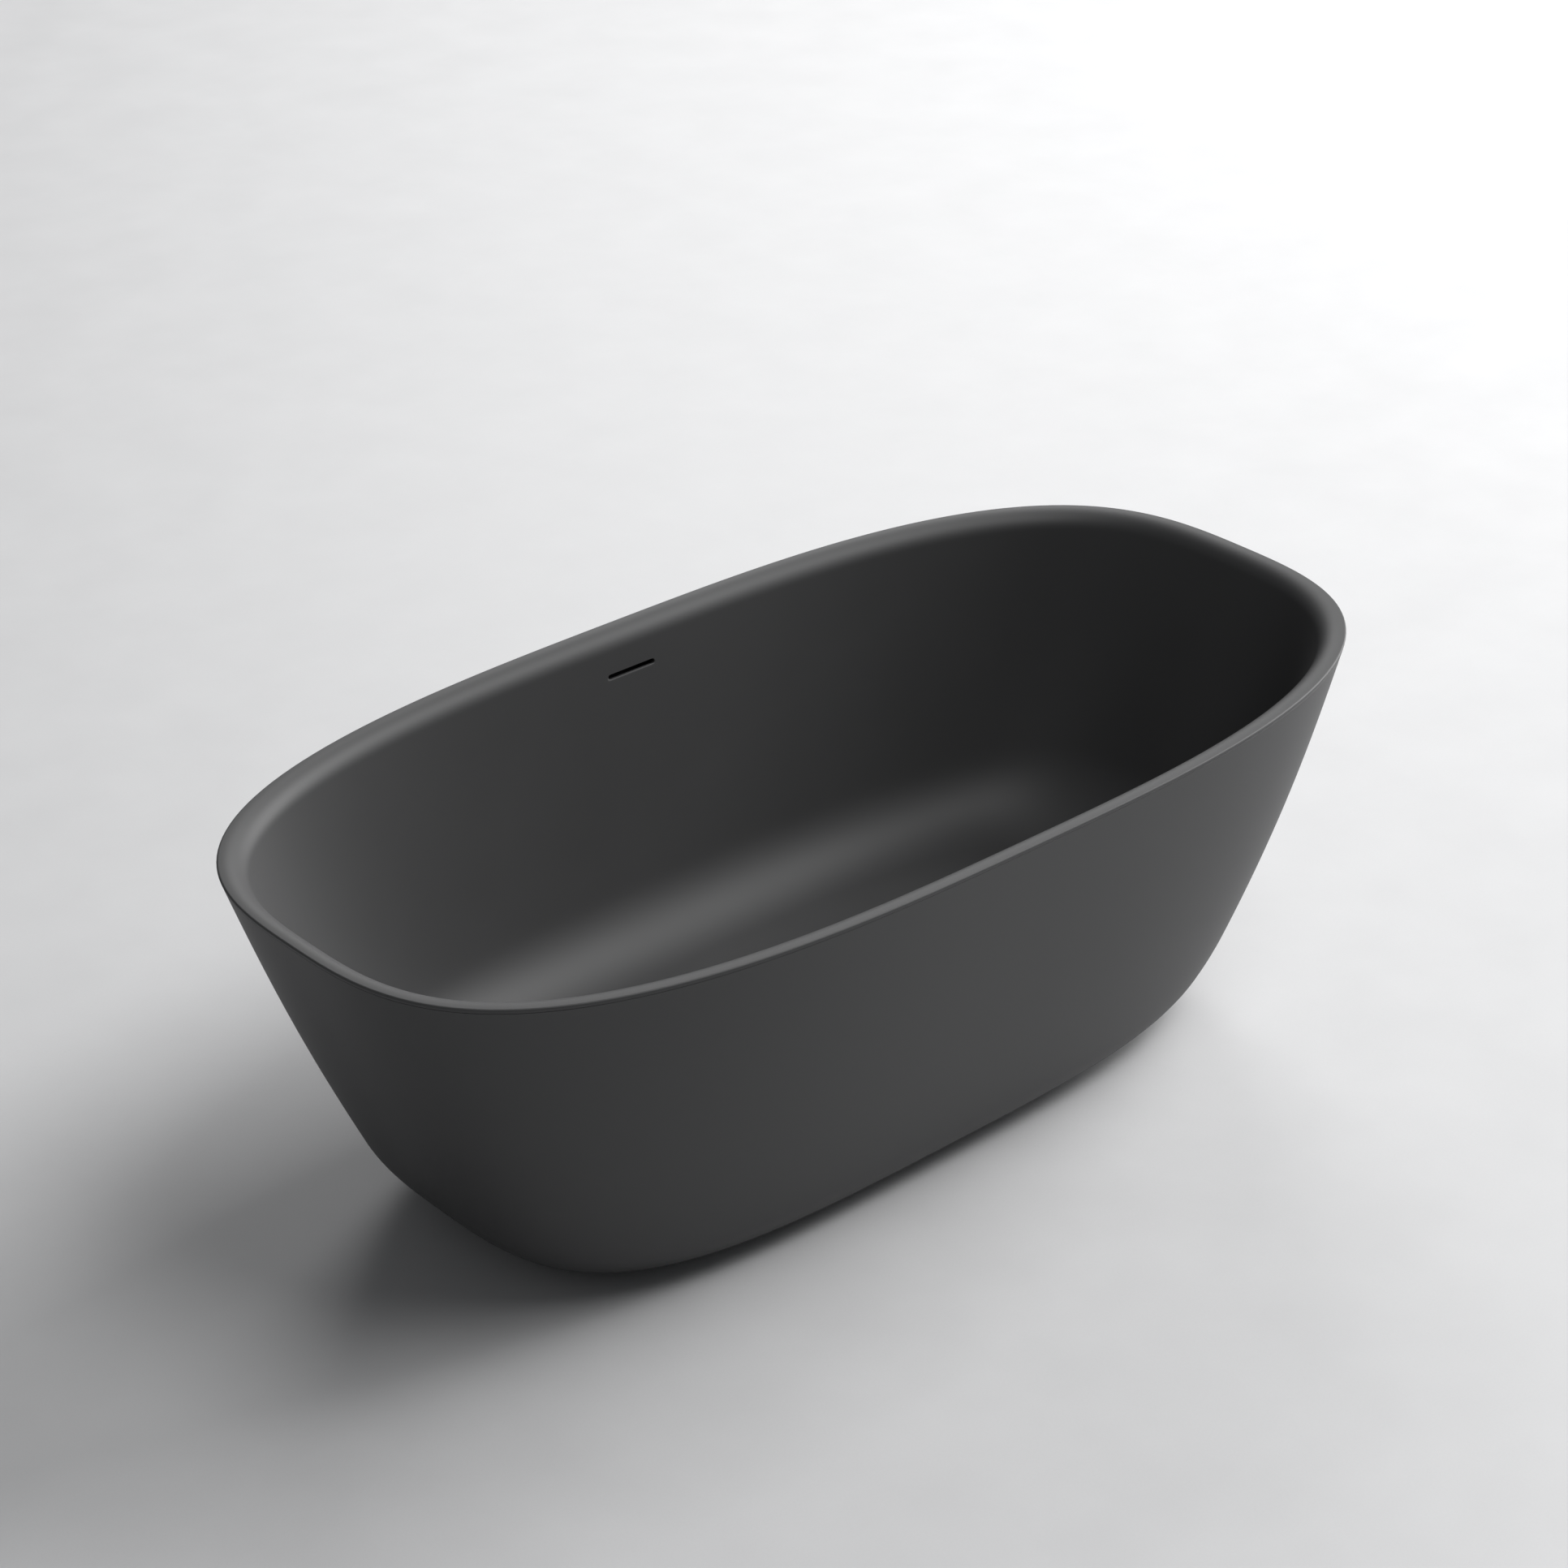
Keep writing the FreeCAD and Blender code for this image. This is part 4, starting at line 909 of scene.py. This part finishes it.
def overflow_box():
    bm = bmesh.new()
    place = wall_place()
    windowed(bm, 112, 34, 2, 2.3, 4.8, place)
    outer, inner = dense_box(100, 44, 6), dense_box(96, 40, 4)
    soft = [(x * 0.97, y * 0.95) for x, y in outer]
    rows = [[(x, n, w - 10) for x, w in line] for line, n in (
        (inner, 15), (inner, 4.4), (outer, 4.4), (outer, 15.6), (soft, 17),
    )]
    lofted(bm, rows, place, closed=False)
    barbs = [(6, 2), (7.3, 2)]
    for k in range(4):
        barbs += [(7.3, -3 - 4 * k), (7.25, -6 - 4 * k), (7.9, -6.4 - 4 * k)]
    barbs += [(7.2, -23.6), (6.8, -24), (6, -24)]
    turned(bm, barbs, 48, None, place @ Matrix.Translation(Vector((0, 12.2, -32))))
    return made("overflow_box", bm)


def hose_corners():
    place = wall_place()
    middles = []
    for z in (330, 225):
        y = (well_size(z * MM, SKIN)[1] + inner_size(z * MM)[1]) / 2 / MM
        middles.append(Vector((0, y, z)))
    mid, low = middles
    turn = mid + (low - mid) * ((mid.z - 72) / (mid.z - low.z))
    return [place @ Vector((0, 12.2, -33)), place @ Vector((0, 12.2, -72)), mid, turn, Vector((0, 30, 72))]


def overflow_hose():
    """Smooth cuffs at both ends and rings between them."""
    bm = bmesh.new()
    cuff = 24.0

    def outer_at(at, whole):
        inside = min(at, whole - at) - cuff
        if inside < 0:
            return 9.4
        return 9.5 - 1.1 * min(1.0, inside / 2) * (0.5 - 0.5 * math.cos(2 * math.pi * inside / 4.2))

    path = bent_path(hose_corners(), [500, 700, 95], 0.6)
    piped(bm, path, outer_at, 8.0, 28)
    return made("overflow_hose", bm, 60)


def hose_clip(name, place):
    """A worm-drive band with its screw housing towards +X."""
    bm = bmesh.new()
    band = [(9.55, -4.5), (10.5, -4.5), (10.8, -4.1), (10.8, 4.1), (10.5, 4.5), (9.55, 4.5)]
    turned(bm, band, 72, None, place)
    for k in range(11):
        turn = Matrix.Rotation(math.radians(60 + 24 * k), 4, "Z")
        spot = place @ turn @ Matrix.Translation(Vector((10.85, 0, 0)))
        block(bm, 0.5, 1.2, -2.6, 2.6, 0.1, spot, 0.1)
    block(bm, 5.0, 12, -3.5, 3.5, 1.2, place @ Matrix.Translation(Vector((12.8, 0, 0))))
    screw = [(0, 6.2), (2.2, 6.2), (2.2, 8.6), (2.0, 9.6), (1.4, 10), (0.9, 10), (0.9, 9.2), (0, 9.2)]
    turned(bm, screw, 32, None, place @ facing((0, -1, 0), (12.8, 0, 0)))
    return made(name, bm)


# ---- board, frame and feet ----

RAIL_Y = 135
FOOT_X = 340
SCREW_SPOTS = corners(110, RAIL_Y) + corners(300, RAIL_Y)
BRACKET_SPOTS = [(x + off, y) for x, y in corners(250, 140) for off in (-12, 12)]


def floor_board():
    bm = bmesh.new()
    outer = dense_box(900, 340, 60, 12)
    rows = []
    for inset, z in ((1.2, 109), (0.3, 109.4), (0, 110.2), (0, 122.8), (0.3, 123.6), (1.2, 124)):
        rows.append([(x * (1 - inset / 450), y * (1 - inset / 170), z) for x, y in outer])
    for radius, z in ((60.6, 124), (60, 123.4), (60, 109.6), (60.6, 109)):
        rows.append([(x / math.hypot(x, y) * radius, y / math.hypot(x, y) * radius, z) for x, y in outer])
    lofted(bm, rows)
    return made("floor_board", bm)


def base_frame():
    bm = bmesh.new()
    for side in (-1, 1):
        rail(bm, 760, (0, side * RAIL_Y, 99), (1, 0, 0))
        for x in (-340, -200, 200, 340):
            if side > 0:
                rail(bm, 240, (x, 0, 99), (0, 1, 0))
            y = side * 119.6
            for z in (89.4, 108.6):
                bead(bm, (x - 13, y, z), (x + 13, y, z))
            for edge in (-14.8, 14.8):
                bead(bm, (x + edge, y, 91.5), (x + edge, y, 106.5))
    nut = [(6.05, 75.6), (6.7, 75), (12.4, 75), (14.2, 76.2), (14.2, 89), (6.05, 89)]
    for x, y in corners(FOOT_X, RAIL_Y):
        spot = Matrix.Translation(Vector((x, y, 0)))
        turned(bm, nut, 96, hexed(24, 12), spot)
        for k in range(6):
            one, two = (Vector((13.2 * math.cos(a), 13.2 * math.sin(a), 88.6)) for a in
                        (math.radians(60 * k + 8), math.radians(60 * k + 52)))
            bead(bm, spot @ one, spot @ two, 1.3)
    return made("base_frame", bm, 40)


def screws(name, spots, z, length):
    """Pan heads with hexagon sockets under the rails, their threads pointing up."""
    bm = bmesh.new()
    head = [(0, -1.2), (1.9, -1.2), (2.45, -1.7), (2.45, -2.4), (2.6, -2.5), (3.4, -2.45), (4.1, -2.0)]
    head += [(4.5, -1.1), (4.5, -0.2), (4.3, 0), (2.6, 0)]
    shank = climb(2.5, 0.4, length - 2, 0.3) + [(1.2, length - 0.4), (0, length)]
    thread = threaded(2.5, 1.1, 0.55, 0.4, length - 2)
    socket = hexed(5.0, 0.0)

    def relief(angle, radius, height):
        shaping = socket if height < -1 and radius < 2.5 else thread
        return shaping(angle, radius, height)

    for x, y in spots:
        turned(bm, head + shank, 36, relief, Matrix.Translation(Vector((x, y, z))))
    return made(name, bm)


def skirt_brackets():
    """Bent strips from under the rails out to the skirt."""
    bm = bmesh.new()
    low, thick = 86.0, 3.0

    def reach(z):
        end, side = inner_size(z * MM)
        power = exponent(low * MM)
        share = (1 - abs(270 * MM / outer_size(low * MM)[0]) ** power) ** (1 / power)
        return side / MM * share - 1.5

    start = RAIL_Y + 15 - 28
    top = low + 70
    bend = [(reach(low + 6 * (1 - math.cos(a))) - 6 * (1 - math.sin(a)), low + 6 * (1 - math.cos(a)))
            for a in (math.pi / 2 * k / 6 for k in range(7))]
    rise = [(reach(z), z) for z in (top - 30, top - 1)] + [(reach(top) - 0.4, top)]
    fall = [(reach(top) - thick + 0.4, top)] + [(reach(z) - thick, z) for z in (top - 1, top - 30)]
    inner = [(y - thick * math.sin(math.pi / 2 * k / 6), z + thick * math.cos(math.pi / 2 * k / 6))
             for k, (y, z) in enumerate(bend)][::-1]
    outline = [(start, low)] + bend + rise + fall + inner + [(start, low + thick)]
    middle_y = sum(y for y, z in outline) / len(outline)
    for x, side in corners(250, 1):
        rows = []
        for across, ease in ((-20, 0.3), (-19.6, 0.0), (19.6, 0.0), (20, 0.3)):
            shift = [ease * (0.5 if y < middle_y else -0.5) for y, z in outline]
            rows.append([(x + across, side * (y + d), z) for (y, z), d in zip(outline, shift)])
        lofted(bm, rows, closed=False)
    return made("skirt_brackets", bm)


def stud_lock_nuts():
    bm = bmesh.new()
    nut = [(6.05, 68.6), (6.6, 68), (9.0, 68), (10.6, 69), (10.6, 74), (9.0, 75), (6.6, 75), (6.05, 74.4)]
    for x, y in corners(FOOT_X, RAIL_Y):
        turned(bm, nut, 96, hexed(18, 8.9), Matrix.Translation(Vector((x, y, 0))))
    return made("stud_lock_nuts", bm)


def foot_pad(name, place):
    bm = bmesh.new()
    sole = [(0, 0.5), (8, 0.5), (8.4, 0), (11.6, 0), (12, 0.5)]
    sole += [(15, 0.5), (15.4, 0), (18.6, 0), (19, 0.5), (22, 0.5)]
    rim = [(22.4, 0), (27.2, 0), (27.8, 0.3), (28, 0.9), (28, 5.6), (27.7, 6.2)]
    rim += [(21, 11.5), (20.2, 11.9), (19.6, 12)]
    hollow = [(6.8, 12), (6.5, 11.7), (6.5, 9.4), (12.4, 9.4), (12.4, 3.7), (0, 3.7)]
    turned(bm, sole + rim + hollow, 96, None, place)
    return made(name, bm)


def foot_stud(name, place):
    bm = bmesh.new()
    foot = [(0, 4), (11.5, 4), (12, 4.5), (12, 8.5), (11.5, 9), (6.3, 9), (6, 9.3), (6, 9.9), (6, 10.1)]
    flats = [(6, 12), (6, 24), (6, 25.9), (6, 26.1)]
    rod = climb(6, 27, 103.6, 0.29) + [(5.2, 104.6), (4.6, 105), (0, 105)]
    thread = threaded(6, 1.75, 0.85, 27, 104.5)
    flat = hexed(10, 0.0)

    def relief(angle, radius, height):
        shaping = flat if 10 < height < 26 else thread
        return shaping(angle, radius, height)

    turned(bm, foot + flats + rod, 48, relief, place)
    return made(name, bm)


for make in (
    waste_body, drain_flange, click_barrel, click_spring, trap_body, trap_union_nut, trap_cap, outlet_nut,
    overflow_seal, overflow_box, overflow_hose, floor_board, base_frame, skirt_brackets, stud_lock_nuts,
):
    piece(make(), "tub", make.__name__)
for make in (plug_cap, plug_seal, plug_stem):
    piece(make(), "plug", make.__name__)
for name, outer, bore, low, high, place in (
    ("drain_seal_upper", 34, 23.6, 125.5, 127, UPRIGHT), ("drain_seal_lower", 41, 23.6, 116, 119, UPRIGHT),
    ("trap_washer", 24.6, 19, 44, 46, UPRIGHT), ("trap_cap_seal", 41.5, 37, 92, 94, DRUM),
    ("outlet_seal", 24, 20.2, 17, 20, OUTLET),
):
    piece(ring(name, outer, bore, low, high, place), "tub", name)
UPPER_CLIP = wall_place() @ Matrix.Translation(Vector((0, 12.2, -43)))
LOWER_CLIP = facing((0, -1, 0), (0, 47, 72))
piece(hose_clip("hose_clip_upper", UPPER_CLIP), "tub", "hose_clip_upper")
piece(hose_clip("hose_clip_lower", LOWER_CLIP), "tub", "hose_clip_lower")
piece(screws("frame_screws", SCREW_SPOTS, 89, 31), "tub", "frame_screws")
piece(screws("bracket_screws", BRACKET_SPOTS, 86, 21), "tub", "bracket_screws")
for side, x in (("left", -FOOT_X), ("right", FOOT_X)):
    for depth, y in (("front", -RAIL_Y), ("back", RAIL_Y)):
        spot = Matrix.Translation(Vector((x, y, 0)))
        corner = f"{side}_{depth}"
        piece(foot_pad(f"foot_pad_{corner}", spot), f"pad_{corner}", f"foot_pad_{corner}")
        piece(foot_stud(f"foot_stud_{corner}", spot), f"stud_{corner}", f"foot_stud_{corner}")

# ---- floor, light and camera ----

floor_mesh = bpy.data.meshes.new("floor")
FLOOR_HALF = 14.0
floor_mesh.from_pydata(
    [(sx * FLOOR_HALF, sy * FLOOR_HALF, 0) for sx, sy in ((-1, -1), (1, -1), (1, 1), (-1, 1))],
    [],
    [(0, 1, 2, 3)],
)
floor = bpy.data.objects.new("floor", floor_mesh)
bpy.context.scene.collection.objects.link(floor)
floor_mesh.materials.append(
    surface("pale_floor", (0.61, 0.61, 0.615), (0.65, 0.65, 0.655), (0.55, 0.65), 300, 0.08, 0.0003)
)


def area_light(name, place, aim, size, power):
    data = bpy.data.lights.new(name, "AREA")
    data.shape = "RECTANGLE"
    data.size = size[0]
    data.size_y = size[1]
    data.energy = power
    light = bpy.data.objects.new(name, data)
    light.location = place
    light.rotation_euler = (Vector(aim) - Vector(place)).to_track_quat("-Z", "Y").to_euler()
    bpy.context.scene.collection.objects.link(light)


LIGHT_AIM = (0, 0, 0.3)
WORLD_STRENGTH = 0.13
for light_name, place, size, power in (
    ("key", (9.4, -1.2, 6.5), (7.5, 6.5), 1300),
    ("rim_glint", (5.4, 6.1, 4.7), (3.5, 3.0), 210),
    ("front_high", (1.5, -3.3, 8.6), (4.5, 4.5), 290),
    ("low_right", (9.0, -0.8, 1.6), (3.0, 2.6), 280),
    ("left_fill", (-6.0, 4.5, 3.5), (4.5, 4.0), 10),
):
    area_light(light_name, place, LIGHT_AIM, size, power)
world = bpy.data.worlds.new("studio")
bpy.context.scene.world = world
world.use_nodes = True
world.node_tree.nodes["Background"].inputs["Color"].default_value = (0.95, 0.97, 1.0, 1)
world.node_tree.nodes["Background"].inputs["Strength"].default_value = WORLD_STRENGTH

CAMERA_AZ = math.radians(-41.76)
CAMERA_EL = math.radians(28.706)
CAMERA_PLACE = Vector((-3.0295, -3.3349, 2.3795 + HEIGHT))
CAMERA_LENS = 87.58
backward = Vector((
    math.sin(CAMERA_AZ) * math.cos(CAMERA_EL),
    -math.cos(CAMERA_AZ) * math.cos(CAMERA_EL),
    math.sin(CAMERA_EL),
))
rightward = Vector((math.cos(CAMERA_AZ), math.sin(CAMERA_AZ), 0))
upward = backward.cross(rightward)
camera_data = bpy.data.cameras.new("camera")
camera_data.lens = CAMERA_LENS
camera_data.sensor_width = 36.0
camera_data.clip_end = 60.0
camera = bpy.data.objects.new("camera", camera_data)
camera.matrix_world = Matrix((
    (rightward.x, upward.x, backward.x, CAMERA_PLACE.x),
    (rightward.y, upward.y, backward.y, CAMERA_PLACE.y),
    (rightward.z, upward.z, backward.z, CAMERA_PLACE.z),
    (0, 0, 0, 1),
))
bpy.context.scene.collection.objects.link(camera)
bpy.context.scene.camera = camera
bpy.context.scene.view_settings.view_transform = "Standard"
